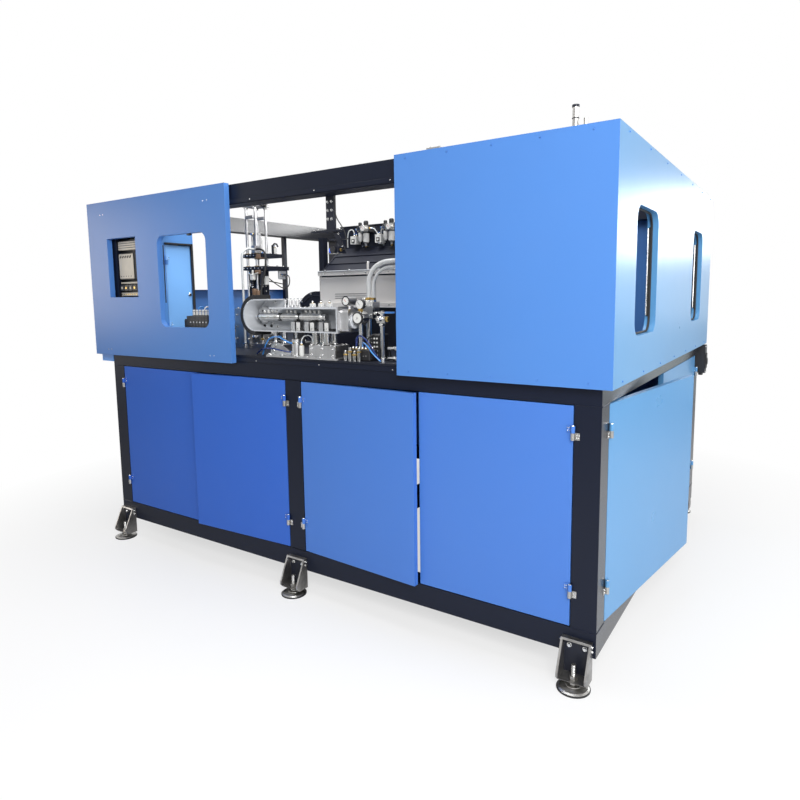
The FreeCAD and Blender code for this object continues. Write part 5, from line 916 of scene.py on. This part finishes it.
cords_on_head = (
    ("HeadLoop1", (-0.5858, -0.548, 1.628), [(0.018, 0, 0.002), (0.04, -0.004, -0.02),
     (0.03, -0.01, -0.06), (-0.004, -0.02, -0.052), (-0.0335, -0.102, -0.036)], 0.0062, RUBBER,
     "rubber"),
    ("HeadLoop2", (-0.5858, -0.53, 1.628), [(0.022, 0, 0.004), (0.056, -0.006, -0.022),
     (0.052, -0.018, -0.08), (0.01, -0.04, -0.086), (-0.0335, -0.12, -0.008)], 0.0062, RUBBER,
     "rubber"),
    ("HeadTube1", (-0.705, -0.7012, 1.636), [(0, -0.014, 0), (0.016, -0.02, 0.0),
     (0.04, -0.02, -0.014), (0.066, -0.018, -0.004), (0.08, -0.012, 0), (0.08, 0, 0)], 0.0048,
     CLEAR_TUBE, "hose_plastic"))
for name, start, steps, diameter, finish, slot in cords_on_head:
    cord(name, start, steps, diameter, finish, body="seal_head")


# ---------------------------------------------------------------- oven, hood and regulators

OVEN_RIM, OVEN_FACE = -0.528, -0.512
oven = Piece()
oven.screw(row((-0.27, OVEN_RIM, 1.624), 8, x=0.152) + row((-0.27, OVEN_RIM, 1.443), 8, x=0.152),
    "-y", 0.0042)
oven.screw(row((-0.317, -0.49, 1.624), 5, y=0.085), "-x", 0.0042)
for x in (0.086, 0.512):
    oven.block(BLACK_PAINT, (x - 0.0012, -0.5126, 1.456), (x + 0.0012, -0.511, 1.611), 0.0004)
# A thin black strip under the top rim: painted shadow of the rim on the oven front.
oven.block(BLACK_PAINT, (-0.3, -0.515, 1.6045), (0.938, -0.5112, 1.6115), 0.001)
oven.blocks(PALE_GREY, [((-0.316, -0.532, 1.633), (0.938, -0.526, 1.64)),
    ((-0.316, -0.532, 1.427), (0.938, -0.526, 1.433))])
for place in row((0.62, OVEN_FACE, 1.475), 12, x=0.022):
    oven.block(BLACK_PAINT, place - Vector((0.004, 0.0009, 0)),
        place + Vector((0.004, 0.001, 0.05)), 0.0006)
for place in row((-0.205, OVEN_FACE, 1.48), 3, z=0.012):
    oven.block(BLACK_PAINT, place - Vector((0, 0.0009, 0)), place + Vector((0.24, 0.001, 0.003)),
        0.0004)
oven.bolt(row((-0.26, -0.53, 1.64), 7, x=0.176), "z", 0.0062)
oven.bar(OVEN_GREY, [(0.045, -0.526, 1.64), (0.045, -0.526, 1.672), (0.045, -0.5195, 1.68)], 0.007)
oven.done("OvenTrim")

hood = Piece()
slope = Vector((0, 0.185, 0.141)).normalized()
for share in (0.3, 0.62):
    foot = Vector((0, -0.512, 1.636)) + slope * 0.2326 * share
    hood.plate(BLACK_PAINT, [foot + Vector((-0.301, 0, 0.0006)), foot + Vector((0.939, 0, 0.0006)),
        foot + Vector((0.939, 0, 0.0006)) + slope * 0.012,
        foot + Vector((-0.301, 0, 0.0006)) + slope * 0.012], (0, -0.0026, 0.0034))
for x in (-0.296, 0.93):
    hood.plate(BLACK_PAINT, [Vector((x, -0.512, 1.638)), Vector((x + 0.006, -0.512, 1.638)),
        Vector((x + 0.006, -0.329, 1.777)), Vector((x, -0.329, 1.777))], (0, -0.002, 0.0026))
hood.screw(twice(row((-0.285, -0.3271, 1.785), 9, x=0.153), z=0.112), "-y", 0.0036)
hood.block(BLACK_PAINT, (-0.301, -0.333, 1.902), (0.939, -0.321, 1.9085))
hood.done("HoodSeams")

KNOBS = ((-0.075, "knob_1"), (0.104, "knob_2"))
SERVICE_Y = -0.372
service = Piece()
for x, body in KNOBS:
    service.block(BRIGHT, (x - 0.0275, -0.3935, 1.8605), (x + 0.0275, -0.327, 1.8665))
    service.drum(WHITE, (x, SERVICE_Y, 1.801), "z", 0.018, 0.056, 0.003)
    service.hoop(BLACK, (x, SERVICE_Y, 1.857), "z", 0.0185, 0.0026)
    service.hexagon(BRASS, (x, SERVICE_Y, 1.775), "z", 0.0068, 0.008)
    service.drum(WHITE, (x, -0.4068, 1.88), "-y", 0.0155, 0.0012, 0.0004)
    service.hoop(BRIGHT, (x, -0.4065, 1.88), "y", 0.016, 0.0016)
    service.spokes(BLACK, (x, -0.4083, 1.88), 0.0108, 0.0138, DIAL, 0.0005)
    service.bar(RED, [(x + 0.003, -0.4086, 1.877), (x - 0.009, -0.4086, 1.889)], 0.0007, 5)
    left = x - 0.042
    service.block(BRIGHT, (left - 0.0145, -0.39, 1.866), (left + 0.014, -0.333, 1.899), 0.004)
    service.drum(BLACK, (left, SERVICE_Y, 1.86), "z", 0.015, 0.007, 0.002)
    service.turned(WHITE, (left, SERVICE_Y, 1.805), "z",
        [(0.004, 0), (0.007, 0.004), (0.013, 0.012), (0.013, 0.056)])
    service.drum(BLACK, (left, SERVICE_Y, 1.8985), "z", 0.0105, 0.02, 0.003)
    service.block(BRIGHT, (left + 0.0135, -0.385, 1.876), (x - 0.0272, -0.36, 1.894))
    service.block(BLACK, (left - 0.015, -0.3905, 1.8958), (x + 0.028, -0.35, 1.9005), 0.001)
    service.fitting((x + 0.0272, SERVICE_Y, 1.88), "x", 0.0056)
    service.fitting((left - 0.0145, SERVICE_Y, 1.88), "-x", 0.0056)
    knob = Piece()
    knob.rods(BLACK, around((x, SERVICE_Y, 1.901), 0.0131, [22.5 * step for step in range(16)],
        "xy"), (0, 0, 0.0195), 0.0012, 6)
    knob.turned(BLACK, (x, SERVICE_Y, 1.9248), "z",
        [(0.01, 0), (0.0096, 0.0012), (0.006, 0.0014), (0.0056, 0.0006)])
    knob.block(WHITE, (x - 0.001, -0.3805, 1.9255), (x + 0.001, -0.374, 1.9268), 0.0003)
    knob.done(body.title().replace("_", "") + "Ribs", body)
for number in range(4):
    x = -0.189 + 0.179 * number
    service.block(BLACK, (x + 0.008, -0.3768, 1.803), (x + 0.032, -0.3745, 1.827))
    service.drum(WHITE, (x + 0.02, -0.3768, 1.815), "-y", 0.007, 0.0026, 0.0008)
    for across in (0.006, 0.034):
        service.screw((x + across, -0.3752, 1.839), "-y", 0.002)
    service.fitting([(x + 0.012, -0.351, 1.843), (x + 0.028, -0.351, 1.843)], "z", 0.0046)
service.block(WHITE, (0.004, -0.37, 1.79), (0.026, -0.328, 1.811))
service.done("ServiceUnits")

for name, start, steps, diameter, finish in (
        ("PanelTube1", (-0.033, SERVICE_Y, 1.88),
         [(0.014, 0, 0), (0.03, 0.004, -0.022), (0.04, 0.018, -0.048), (0.046, 0.022, -0.069)],
         0.007, CLEAR_TUBE),
        ("PanelTube2", (0.0475, SERVICE_Y, 1.88),
         [(-0.01, 0, 0), (-0.02, 0.004, -0.022), (-0.026, 0.018, -0.048), (-0.028, 0.022, -0.069)],
         0.007, CLEAR_TUBE),
        ("PanelTube3", (-0.177, -0.351, 1.855), [(0, 0, 0.012), (-0.012, 0, 0.03),
         (-0.04, 0, 0.026), (-0.052, 0, -0.01), (-0.052, 0.002, -0.074)], 0.006, CLEAR_TUBE),
        ("PanelTube4", (-0.161, -0.351, 1.855), [(-0.002, -0.004, 0.012), (0.001, -0.001, 0.026),
         (0.011, 0.009, 0.034), (0.02, 0.02, 0.026), (0.02, 0.0238, 0.014)], 0.006, DARK_TUBE),
        ("PanelTube5", (0.181, -0.351, 1.855), [(0, 0, 0.014), (-0.008, -0.01, 0.028),
         (-0.022, -0.02, 0.026), (-0.0395, -0.021, 0.025)], 0.006, CLEAR_TUBE)):
    cord(name, start, steps, diameter, finish)


# ---------------------------------------------------------------- preform transfer

BAR_Y, BAR_Z = -1.037, 1.394
TRAY_FRONT, TRAY_BACK = -1.097, -0.983
tray = Piece()
tray.screw(row((-0.19, TRAY_FRONT, 1.325), 6, x=0.086), "-y", 0.0026)
tray.screw(around((-0.2635, TRAY_FRONT, 1.4035), 0.0785, (95, 125, 155, 180, 205, 235, 262)), "-y",
    0.0024)
tray.bolt(row((-0.215, TRAY_BACK, 1.34), 5, x=0.11) + row((-0.225, TRAY_BACK, 1.468), 2, x=0.075),
    "-y", 0.0062)
tray.drum(BRIGHT, (-0.283, -1.007, 1.4035), "-y", 0.011, 0.007, 0.002)
tray.hoop(BRIGHT, (-0.283, -1.006, 1.4035), "y", 0.033, 0.0016)
tray.drum(BLACK, around((-0.283, -1.0065, 1.4035), 0.023, SIXTHS), "-y", 0.0052, 0.0012, 0.0003,
    12)
for x in (-0.305, -0.256):
    tray.bolt((x, TRAY_BACK, 1.344), "-y", 0.0068, BLACK)
    tray.screw((x + 0.014, TRAY_BACK, 1.356), "-y", 0.005)
for x in (0.008, 0.098, 0.188):
    tray.block(WHITE, (x - 0.012, -1.069, 1.3285), (x + 0.012, -1.0672, 1.37), 0.0008)
    tray.block(BLACK, (x + 0.014, -1.066, 1.3285),
        (x + 0.072 if x < 0.15 else x + 0.04, -1.008, 1.34))
    tray.screw((x, -1.069, 1.34), "-y", 0.0034)
tray.hexagon(BRIGHT, moved(row((-0.13, -1.016, 1.442), 5, x=0.024), y=0.0238, z=0.0394), "z",
    0.006, 0.005)
tray.bolt(row((0.008, -1.074, 1.4415), 9, x=0.027), "z", 0.0052)
for x in (0.03, 0.084, 0.138):
    tray.block(WHITE, (x, -1.005, 1.4412), (x + 0.026, TRAY_BACK, 1.461), 0.003)
    tray.fitting((x + 0.013, -0.995, 1.4605), "z", 0.0048, BLACK)
tray.block(PALE_GREY, (-0.16, -1.0965, 1.435), (0.276, -1.0915, 1.444), 0.001)
tray.drum(PALE_GREY, (0.33, BAR_Y, 1.379), "x", 0.036, 0.011, 0.003)
tray.hoop(BRIGHT, (0.33, BAR_Y, 1.379), "x", 0.0365, 0.0018)
tray.screw(around((0.3408, BAR_Y, 1.379), 0.0265, QUARTERS, "yz"), "x", 0.0032)
tray.block(STEEL, (0.2768, -1.0925, 1.3245), (0.2846, -0.9815, 1.332), 0.001)
tray.bolt(every(0.2842, (-1.085, -0.989), (1.34, 1.425)), "x", 0.0056)
tray.drum(WHITE, (0.307, -1.0672, 1.472), "-y", 0.018, 0.0014, 0.0004)
tray.hoop(BLACK, (0.307, -1.0672, 1.472), "y", 0.0205, 0.003)
tray.bar(RED, [(0.309, -1.069, 1.469), (0.297, -1.069, 1.482)], 0.0008, 5)
tray.spokes(BLACK, (0.307, -1.069, 1.472), 0.013, 0.0165, range(-30, 250, 40), 0.0006)
for x in (-0.175, -0.112):
    tray.hoop(BRIGHT, (x, BAR_Y, 1.319), "z", 0.0122, 0.0022)
    tray.turned(BRIGHT, (x, BAR_Y, 1.26), "z", [(0.008, 0), (0.0125, 0.003), (0.0125, 0.012),
        (0.0112, 0.014)])
    tray.hoop(BLACK, (x, BAR_Y, 1.285), "z", 0.0112, 0.0016)
tray.fitting((-0.164, BAR_Y, 1.296), "x", 0.0046)
tray.fitting((-0.123, BAR_Y, 1.296), "-x", 0.0046)
tray.done("TrayFittings", "carriage")

belt = Piece()
middle = Vector((-0.2635, -1.037, 1.4035))
for place in around(middle, 0.1012, [93 + 6.96 * step for step in range(26)]):
    belt.rods(RUBBER, moved(place, y=-0.0585), (0, 0.117, 0), 0.0022, 6)
belt.done("BeltTeeth", "carriage")

cord("TrayTube", (-0.152, -1.037, 1.296), [(-0.005, -0.01, -0.002), (0.001, -0.021, -0.005),
    (0.016, -0.021, -0.005), (0.022, -0.01, -0.002), (0.017, 0, 0)], 0.0044, BLUE_TUBE,
    body="carriage")

gripper = Piece()
start = -0.296
for number, (low, length) in enumerate(((0.026, 0.13), (0.182, 0.1), (0.308, 0.13))):
    for edge in (low + 0.006, low + length - 0.008):
        gripper.hoop(STEEL, (start + edge, BAR_Y, BAR_Z), "x", 0.0216, 0.0007)
    places = row((start + low + 0.022, BAR_Y, BAR_Z + 0.0216), 4 if number != 1 else 3, x=0.028)
    gripper.drum(WHITE, places, "z", 0.0062, 0.011, 0.0015, 14)
    gripper.hexagon(BRIGHT, moved(places, z=0.0105), "z", 0.0044, 0.004)
    gripper.screw(row((start + low + 0.02, BAR_Y - 0.0212, BAR_Z), 3 if number != 1 else 2,
        x=0.045), "-y", 0.0036, STEEL)
for x in (start + 0.0128, start + 0.168, start + 0.294):
    gripper.hoop(BLACK, (x, BAR_Y, BAR_Z), "x", 0.0175, 0.0024)
gripper.turned(BRIGHT, (start, BAR_Y, BAR_Z), "-x",
    [(0.015, 0), (0.015, 0.003), (0.01, 0.005), (0.006, 0.0052), (0.0055, 0.002)])
gripper.done("GripperRings", "gripper_bar")

LIFT_TOP = 1.2052
lift = Piece()
lift.bolt(every((0.118, 0.166, 0.24, 0.264), (-1.099, -1.012), 1.263), "z", 0.006)
lift.hoop(BLACK, every((0.13, 0.203), (-1.082, -1.027), 1.264), "z", 0.0172, 0.0022)
lift.bolt(row((-0.15, -1.1055, LIFT_TOP), 6, x=0.082), "z", 0.0062)
lift.screw(every((0.128, 0.192, 0.256), -1.11, (1.219, 1.249)), "-y", 0.005)
lift.hoop(BLACK, (-0.02, -1.052, 1.285), "z", 0.012, 0.003)
lift.hoop(BRIGHT, every(-0.02, -1.052, (1.209, 1.272)), "z", 0.0245, 0.0024)
lift.fitting((-0.02, -1.0755, 1.268), "-y", 0.0052)
lift.fitting((-0.044, -1.052, 1.219), "-x", 0.0052)
for place in ((-0.18, 1.222), (-0.166, 1.25), (-0.126, 1.25), (-0.104, 1.218)):
    lift.bolt((place[0], -1.052, place[1]), "-y", 0.0062)
lift.bolt(every(-0.188, (-1.075, -1.03), LIFT_TOP), "z", 0.0062)
lift.drum(WHITE, (0.03, -1.072, LIFT_TOP), "z", 0.013, 0.052, 0.002)
lift.fitting((0.03, -1.072, 1.257), "z", 0.0055)
lift.drum(BRIGHT, (0.088, -1.058, LIFT_TOP), "z", 0.01, 0.064, 0.002)
lift.hoop(BLACK, (0.088, -1.058, 1.25), "z", 0.0102, 0.0018)
lift.done("LiftHardware")

for name, start, steps, diameter, finish in (
        ("LiftTube1", (-0.02, -1.089, 1.268), [(-0.001, -0.011, 0.003), (-0.012, -0.024, 0.01),
         (-0.036, -0.026, 0.022), (-0.072, -0.018, 0.032), (-0.14, -0.002, 0.026),
         (-0.2, 0.02, -0.012), (-0.235, 0.034, -0.068)], 0.0078, BLUE_TUBE),
        ("LiftTube2", (-0.0576, -1.052, 1.219), [(-0.01, -0.006, 0), (-0.04, -0.034, 0.01),
         (-0.11, -0.038, 0.02), (-0.19, -0.022, 0.012), (-0.245, 0.002, -0.019)], 0.0078,
         DARK_TUBE),
        ("LiftTube3", (0.03, -1.072, 1.271), [(-0.001, 0.002, 0.014), (0.01, 0.009, 0.032),
         (0.03, 0.014, 0.037), (0.05, 0.015, 0.031), (0.06, 0.014, 0.014), (0.058, 0.014, -0.002)],
         0.006, CLEAR_TUBE)):
    cord(name, start, steps, diameter, finish)


# ---------------------------------------------------------------- valves, hoses and receiver

HOSE_Y, FILTER_X, TAP_X, TAP_Y = -0.862, 0.366, 0.475, -1.012
air = Piece()
air.hexagon(BRIGHT, every((0.264, 0.292, 0.32), HOSE_Y, 1.4655), "z", 0.0168, 0.006)
air.turned(BRIGHT, (0.264, HOSE_Y, 1.4738), "z", [(0.0125, 0), (0.0125, 0.008), (0.007, 0.012)])
air.hexagon(BRASS, (0.292, HOSE_Y, 1.4738), "z", 0.0162, 0.013)
air.hexagon(BRASS, (0.32, HOSE_Y, 1.4738), "z", 0.0128, 0.011)
air.screw(every((0.262, 0.292, 0.322), -0.892, (1.402, 1.446)), "-y", 0.0052)
air.fitting(every(0.335, (-0.88, -0.845), 1.408), "x", 0.0075, BLACK)
air.block(BLACK, (0.248, -0.8935, 1.381), (0.336, -0.8305, 1.386), 0.001)
air.drum(BRIGHT, (0.249, HOSE_Y, 1.425), "-x", 0.012, 0.018, 0.002)
air.hexagon(STEEL, (0.232, HOSE_Y, 1.425), "-x", 0.015, 0.01)
air.drum(WHITE, (FILTER_X, -1.0578, 1.393), "-y", 0.0235, 0.0024, 0.0008)
air.hoop(BLACK, (FILTER_X, -1.058, 1.393), "y", 0.0265, 0.004)
air.hoop(WHITE, (FILTER_X, -1.0585, 1.393), "y", 0.015, 0.0016)
air.screw((FILTER_X, -1.06, 1.393), "-y", 0.006)
air.screw(around((FILTER_X, -1.052, 1.393), 0.029, SIXTHS), "-y", 0.0028)
air.hexagon(BRASS, (FILTER_X, -1.031, 1.423), "z", 0.013, 0.014)
air.drum(BLACK, (FILTER_X, -1.019, 1.456), "-y", 0.024, 0.022, 0.003)
air.drum(WHITE, (FILTER_X, -1.0405, 1.456), "-y", 0.0205, 0.0016, 0.0005)
air.bar(BLACK, [(0.369, -1.0425, 1.452), (0.356, -1.0425, 1.467)], 0.001, 5)
air.spokes(BLACK, (FILTER_X, -1.0422, 1.456), 0.015, 0.0185, DIAL, 0.0007)
air.hexagon(BRIGHT, (TAP_X, TAP_Y, 1.356), "z", 0.017, 0.013)
air.turned(BRIGHT, (TAP_X, -1.026, 1.388), "-y", [(0.013, 0), (0.013, 0.01), (0.01, 0.014),
    (0.01, 0.026), (0.008, 0.028)])
air.turned(BRIGHT, (0.453, TAP_Y, 1.388), "-x", [(0.013, 0), (0.013, 0.006), (0.01, 0.01)])
air.hexagon(BRASS, (0.497, TAP_Y, 1.388), "x", 0.014, 0.012)
for x, y in ((TAP_X, TAP_Y), (FILTER_X, -1.031), (0.292, HOSE_Y)):
    air.bolt(around((x, y, 1.2092), 0.0235, QUARTERS, "xy"), "z", 0.0038)
for number in range(4):
    x, top = (0.312 + 0.026 * number, 1.233 + 0.0144 * (number % 2))
    air.hexagon(BRASS, (x, -1.082, top - 0.012), "z", 0.0112, 0.008)
    air.turned(BRIGHT, (x, -1.082, top), "z", [(0.007, 0), (0.007, 0.009), (0.005, 0.011)])
air.blocks(BLACK, [((0.325, -1.07, 1.1972), (0.44, -1.002, 1.248)),
    ((0.39, -0.99, 1.1972), (0.44, -0.91, 1.315))], 0.003)
air.screw(row((0.342, -1.07, 1.22), 6, x=0.016), "-y", 0.003)
places = row((0.336, -1.054, 1.248), 6, x=0.018)
air.fitting(places, "z", 0.0042, WHITE)
air.fitting(moved(places, y=0.028), "z", 0.0042, BLACK)
places = row((0.3985, -0.99, 1.22), 5, z=0.019)
air.screw(places, "-y", 0.003)
air.drum(WHITE, moved(places, x=0.014) + moved(places, x=0.029), "-y", 0.0046, 0.003, 0.001, 12)
air.hexagon(BRIGHT, every((0.535, 0.735), TAP_Y, (1.209, 1.255)), "x", 0.0112, 0.009)
air.drum(WHITE, every(0.545, TAP_Y, (1.209, 1.255)), "x", 0.0084, 0.188, 0.001)
air.done("ValveFittings")

tap = Piece()
tap.loft(BLUE_PLASTIC, [[(x, -1.012 + y * swell, 1.418 + z * swell) for y, z in ((-0.0078,
    -0.0042), (0.0078, -0.0042), (0.0092, 0), (0.0078, 0.0042), (-0.0078, 0.0042),
    (-0.0092, 0))] for x, swell in ((0.492, 0.9), (0.496, 1.0), (0.528, 1.0), (0.538, 0.9),
    (0.541, 0.5))])
tap.hexagon(BRIGHT, (0.475, -1.012, 1.421), "z", 0.0074, 0.005)
tap.done("TapSleeve", "tap_lever")

TANK_X, TANK_Y = 0.83, -0.782
tank = Piece()
tank.turned(BLUE, (TANK_X, TANK_Y, 1.232), "z", [(0.129, 0), (0.1325, 0.002), (0.1325, 0.008),
    (0.129, 0.01)], 40)
tank.hoop(BLUE, every(TANK_X, TANK_Y, (1.318, 1.708)), "z", 0.13, 0.0024, 48)
tank.bolt(around((TANK_X, TANK_Y, 1.276), 0.09, range(0, 360, 45), "xy"), "z", 0.0052)
tank.hexagon(BRASS, (TANK_X, TANK_Y, 1.757), "z", 0.018, 0.013)
tank.turned(BRASS, (TANK_X, TANK_Y, 1.7695), "z",
    [(0.013, 0), (0.013, 0.02), (0.009, 0.026), (0.009, 0.036), (0.012, 0.038), (0.012, 0.046),
    (0.006, 0.048)])
for z, radius in ((1.66, 0.019), (1.633, 0.015)):
    tank.hexagon(BRASS, (0.69, -0.862, z), "x", radius, 0.014)
tank.hexagon(BRASS, (0.959, TANK_Y, 1.33), "x", 0.016, 0.016)
tank.turned(BRIGHT, (0.9745, TANK_Y, 1.33), "x", [(0.009, 0), (0.009, 0.018), (0.006, 0.02)])
tank.done("ReceiverFittings")

terminal = Piece()
for number in range(6):
    x = -0.654 - 0.026 * (number + 0.5)
    terminal.hoop(BLACK, (x, -1.046, 1.3975), "z", 0.0074, 0.0018)
    terminal.hoop(BLACK, (x, -1.046, 1.418), "z", 0.007, 0.0012)
    terminal.block(BLACK, (x - 0.0105, -1.0716, 1.33), (x + 0.0105, -1.069, 1.388))
    terminal.drum(WHITE, (x, -1.0712, 1.36), "-y", 0.0046, 0.003, 0.001, 12)
    terminal.fitting((x, -1.022, 1.395), "z", 0.0052, BLACK)
terminal.block(BLACK, (-0.861, -1.066, 1.21), (-0.8495, -1.014, 1.372), 0.003)
terminal.bolt(every((-0.844, -0.66), -1.0, 1.1972), "z", 0.006)
terminal.done("TerminalFaces")

for number, finish in enumerate((DARK_TUBE, CLEAR_TUBE, BLUE_TUBE)):
    x = -0.693 - 0.052 * number
    cord("TerminalTube%d" % number, (x, -1.022, 1.4086),
        [(0, 0.002, 0.016), (0.002, 0.022, 0.04), (0.004, 0.052, 0.024), (0.004, 0.066, -0.04),
        (0.002, 0.066, -0.14), (0, 0.064, -0.209)], 0.007, finish)
for name, start, steps, diameter, finish in (
        ("ValveTube1", (0.354, -1.054, 1.2589), [(0, 0, 0.014), (0.01, -0.014, 0.044),
         (0.046, -0.03, 0.06), (0.09, -0.03, 0.03), (0.118, -0.014, -0.03), (0.13, 0.01, -0.059)],
         0.007, DARK_TUBE),
        ("ValveTube2", (0.39, -1.054, 1.2589), [(0, 0, 0.012), (0.012, -0.016, 0.026),
         (0.05, -0.034, 0.014), (0.086, -0.034, -0.03), (0.118, -0.024, -0.059)], 0.007,
         BLUE_TUBE),
        ("ValveTube3", (0.39, -1.026, 1.2589), [(0, 0, 0.016), (0.008, 0.016, 0.05),
         (0.03, 0.06, 0.06), (0.05, 0.11, 0.02), (0.052, 0.13, -0.059)], 0.007, RUBBER),
        ("ValveTube4", (0.336, -1.026, 1.2589), [(0, 0, 0.016), (-0.008, 0.02, 0.05),
         (-0.02, 0.06, 0.05), (-0.026, 0.09, 0.01), (-0.026, 0.1, -0.059)], 0.007, DARK_TUBE)):
    cord(name, start, steps, diameter, finish)
cord("MotorCable", (0.312, -0.996, 1.365), [(0, 0.008, 0), (-0.006, 0.016, -0.01),
    (-0.02, 0.018, -0.034), (-0.044, 0.016, -0.04), (-0.06, 0.012, -0.03)], 0.006, RUBBER,
    body="carriage")


# ---------------------------------------------------------------- blower, sensor, roof, socket

blower = Piece()
centre = Vector((-0.7, -0.102, 1.337))
for radius in (0.06, 0.11, 0.16):
    blower.hoop(BLACK_PAINT, centre + Vector((0, -0.0004, 0)), "y", radius, 0.0036, 44)
blower.turned(BLACK_PAINT, centre, "-y", [(0.05, 0), (0.046, 0.004), (0.046, 0.022),
    (0.038, 0.028), (0.012, 0.029), (0.01, 0.024)], 28)
FLANGE = range(10, 180, 32)
blower.bolt(around(centre, 0.178, FLANGE), "-y", 0.006, STEEL)
blower.spokes(BLACK_PAINT, centre, 0.052, 0.168, FLANGE, 0.003, 6)
blower.turned(BLACK_PAINT, centre + Vector((0, 0.15, 0)), "y",
    [(0.09, 0), (0.09, 0.11), (0.078, 0.122), (0.078, 0.15), (0.06, 0.158)], 30)
blower.rods(BLACK_PAINT, around(centre + Vector((0, 0.155, 0)), 0.0905, range(22, 382, 45)),
    (0, 0.1, 0), 0.0036, 6)
blower.screw(row((-0.48, -0.102, 1.3), 5, x=0.075), "-y", 0.0046)
blower.block(BLACK_PAINT, (-0.5, -0.108, 1.304), (-0.15, 0.054, 1.32))
blower.done("BlowerHousing")

ARM_Y, ARM_Z = -1.012, 1.712
arm = Piece()
arm.turned(BLACK, (0.218, -1.041, ARM_Z), "-y", [(0.015, 0), (0.015, 0.006)], 24)
arm.turned(BLUE_LAMP, (0.195, ARM_Y, ARM_Z), "-x",
    [(0.014, 0), (0.014, 0.01), (0.012, 0.016), (0.006, 0.019)], 24)
arm.hoop(BRIGHT, (0.195, ARM_Y, ARM_Z), "x", 0.0155, 0.0022)
arm.bolt(every((0.072, 0.098, 0.194, 0.216), -1.0, 1.81), "z", 0.0058)
arm.bolt(every((0.168, 0.192), ARM_Y, (1.86, 1.9, 1.94)), "-y", 0.0056)
arm.screw([(0.215, -0.992, 1.79), (0.238, -0.992, 1.73), (0.245, -0.992, 1.715)], "-y", 0.004)
arm.block(BRIGHT, (0.175, -1.033, 1.6945), (0.239, -0.9915, 1.6975), 0.0008)
arm.hexagon(BRASS, (0.238, ARM_Y, ARM_Z), "x", 0.008, 0.009)
arm.done("SensorFittings")
cord("SensorCable", (0.247, ARM_Y, ARM_Z), [(0.01, 0, 0), (0.026, 0, 0.006), (0.034, 0, 0.03),
    (0.026, 0, 0.07), (0.004, 0.001, 0.11), (-0.03, 0.002, 0.15), (-0.04, 0.002, 0.2),
    (-0.04, 0.002, 0.254)], 0.005, RUBBER)

PIPE_Y = -1.062
roof = Piece()
for x, radius in ((1.366, 0.011), (1.403, 0.00715)):
    roof.hoop(BLACK_PAINT, (x, PIPE_Y, 2.088 if radius < 0.01 else 2.118), "z", radius, 0.002)
    roof.hexagon(STEEL, (x, PIPE_Y, 2.071), "z", radius * 1.5, 0.012)
    roof.screw(around((x, PIPE_Y, 2.071), radius * 1.42, QUARTERS, "xy"), "z", 0.0016)
roof.turned(BLACK_PAINT, (1.366, PIPE_Y, 2.156), "z",
    [(0.0118, 0), (0.013, 0.001), (0.013, 0.0085), (0.008, 0.0095)])
roof.bolt(every((0.762, 0.805), PIPE_Y, 2.095), "z", 0.0062)
roof.done("RoofFittings")

socket = Piece()
socket.block(BLACK, (1.554, 1.044, 1.0), (1.56, 1.102, 1.09), 0.004)
socket.turned(BLACK, (1.559, 1.073, 1.045), "x", [(0.024, 0), (0.024, 0.004), (0.02, 0.006)], 24)
socket.block(BLACK, (1.554, 1.06, 1.09), (1.562, 1.086, 1.098))
socket.screw(every(1.555, (1.048, 1.098), (0.98, 1.14)), "x", 0.0034)
socket.turned(BLACK, (1.527, 1.073, 0.97), "-z", [(0.014, 0), (0.014, 0.012), (0.01, 0.016)], 20)
socket.done("SocketFittings")


# ---------------------------------------------------------------- floor

def floor_plane(reach):
    """A pale floor that keeps the shadow and fades to white away from the object."""
    graph = Graph("Floor")
    graph.finish(Base_Color=graph.blend(graph.noise(0.7, 3), (0.88, 0.88, 0.88),
                                        (0.91, 0.91, 0.91)), Roughness=0.6)
    distance = graph.add("VectorMath", "Value", {0: graph.place}, operation="LENGTH")
    whiteness = graph.remap(distance, 1.5, 3.4, 0.66, 1.0)
    seen = graph.add("LightPath", "Is Camera Ray", {})
    share = graph.add("Math", 0, {0: seen, 1: whiteness}, operation="MULTIPLY")
    glow = graph.add("Emission", "Emission", {})
    both = graph.add("MixShader", 0, {0: share, 1: graph.shader.outputs["BSDF"], 2: glow})
    graph.feed(both, graph.nodes["Material Output"].inputs["Surface"])
    mesh = bpy.data.meshes.new("Floor")
    mesh.from_pydata([(-reach, -reach, 0), (reach, -reach, 0), (reach, reach, 0),
                      (-reach, reach, 0)], [], [(0, 1, 2, 3)])
    mesh.materials.append(graph.material)
    floor = bpy.data.objects.new("Floor", mesh)
    SCENE.objects.link(floor)


floor_plane(30)
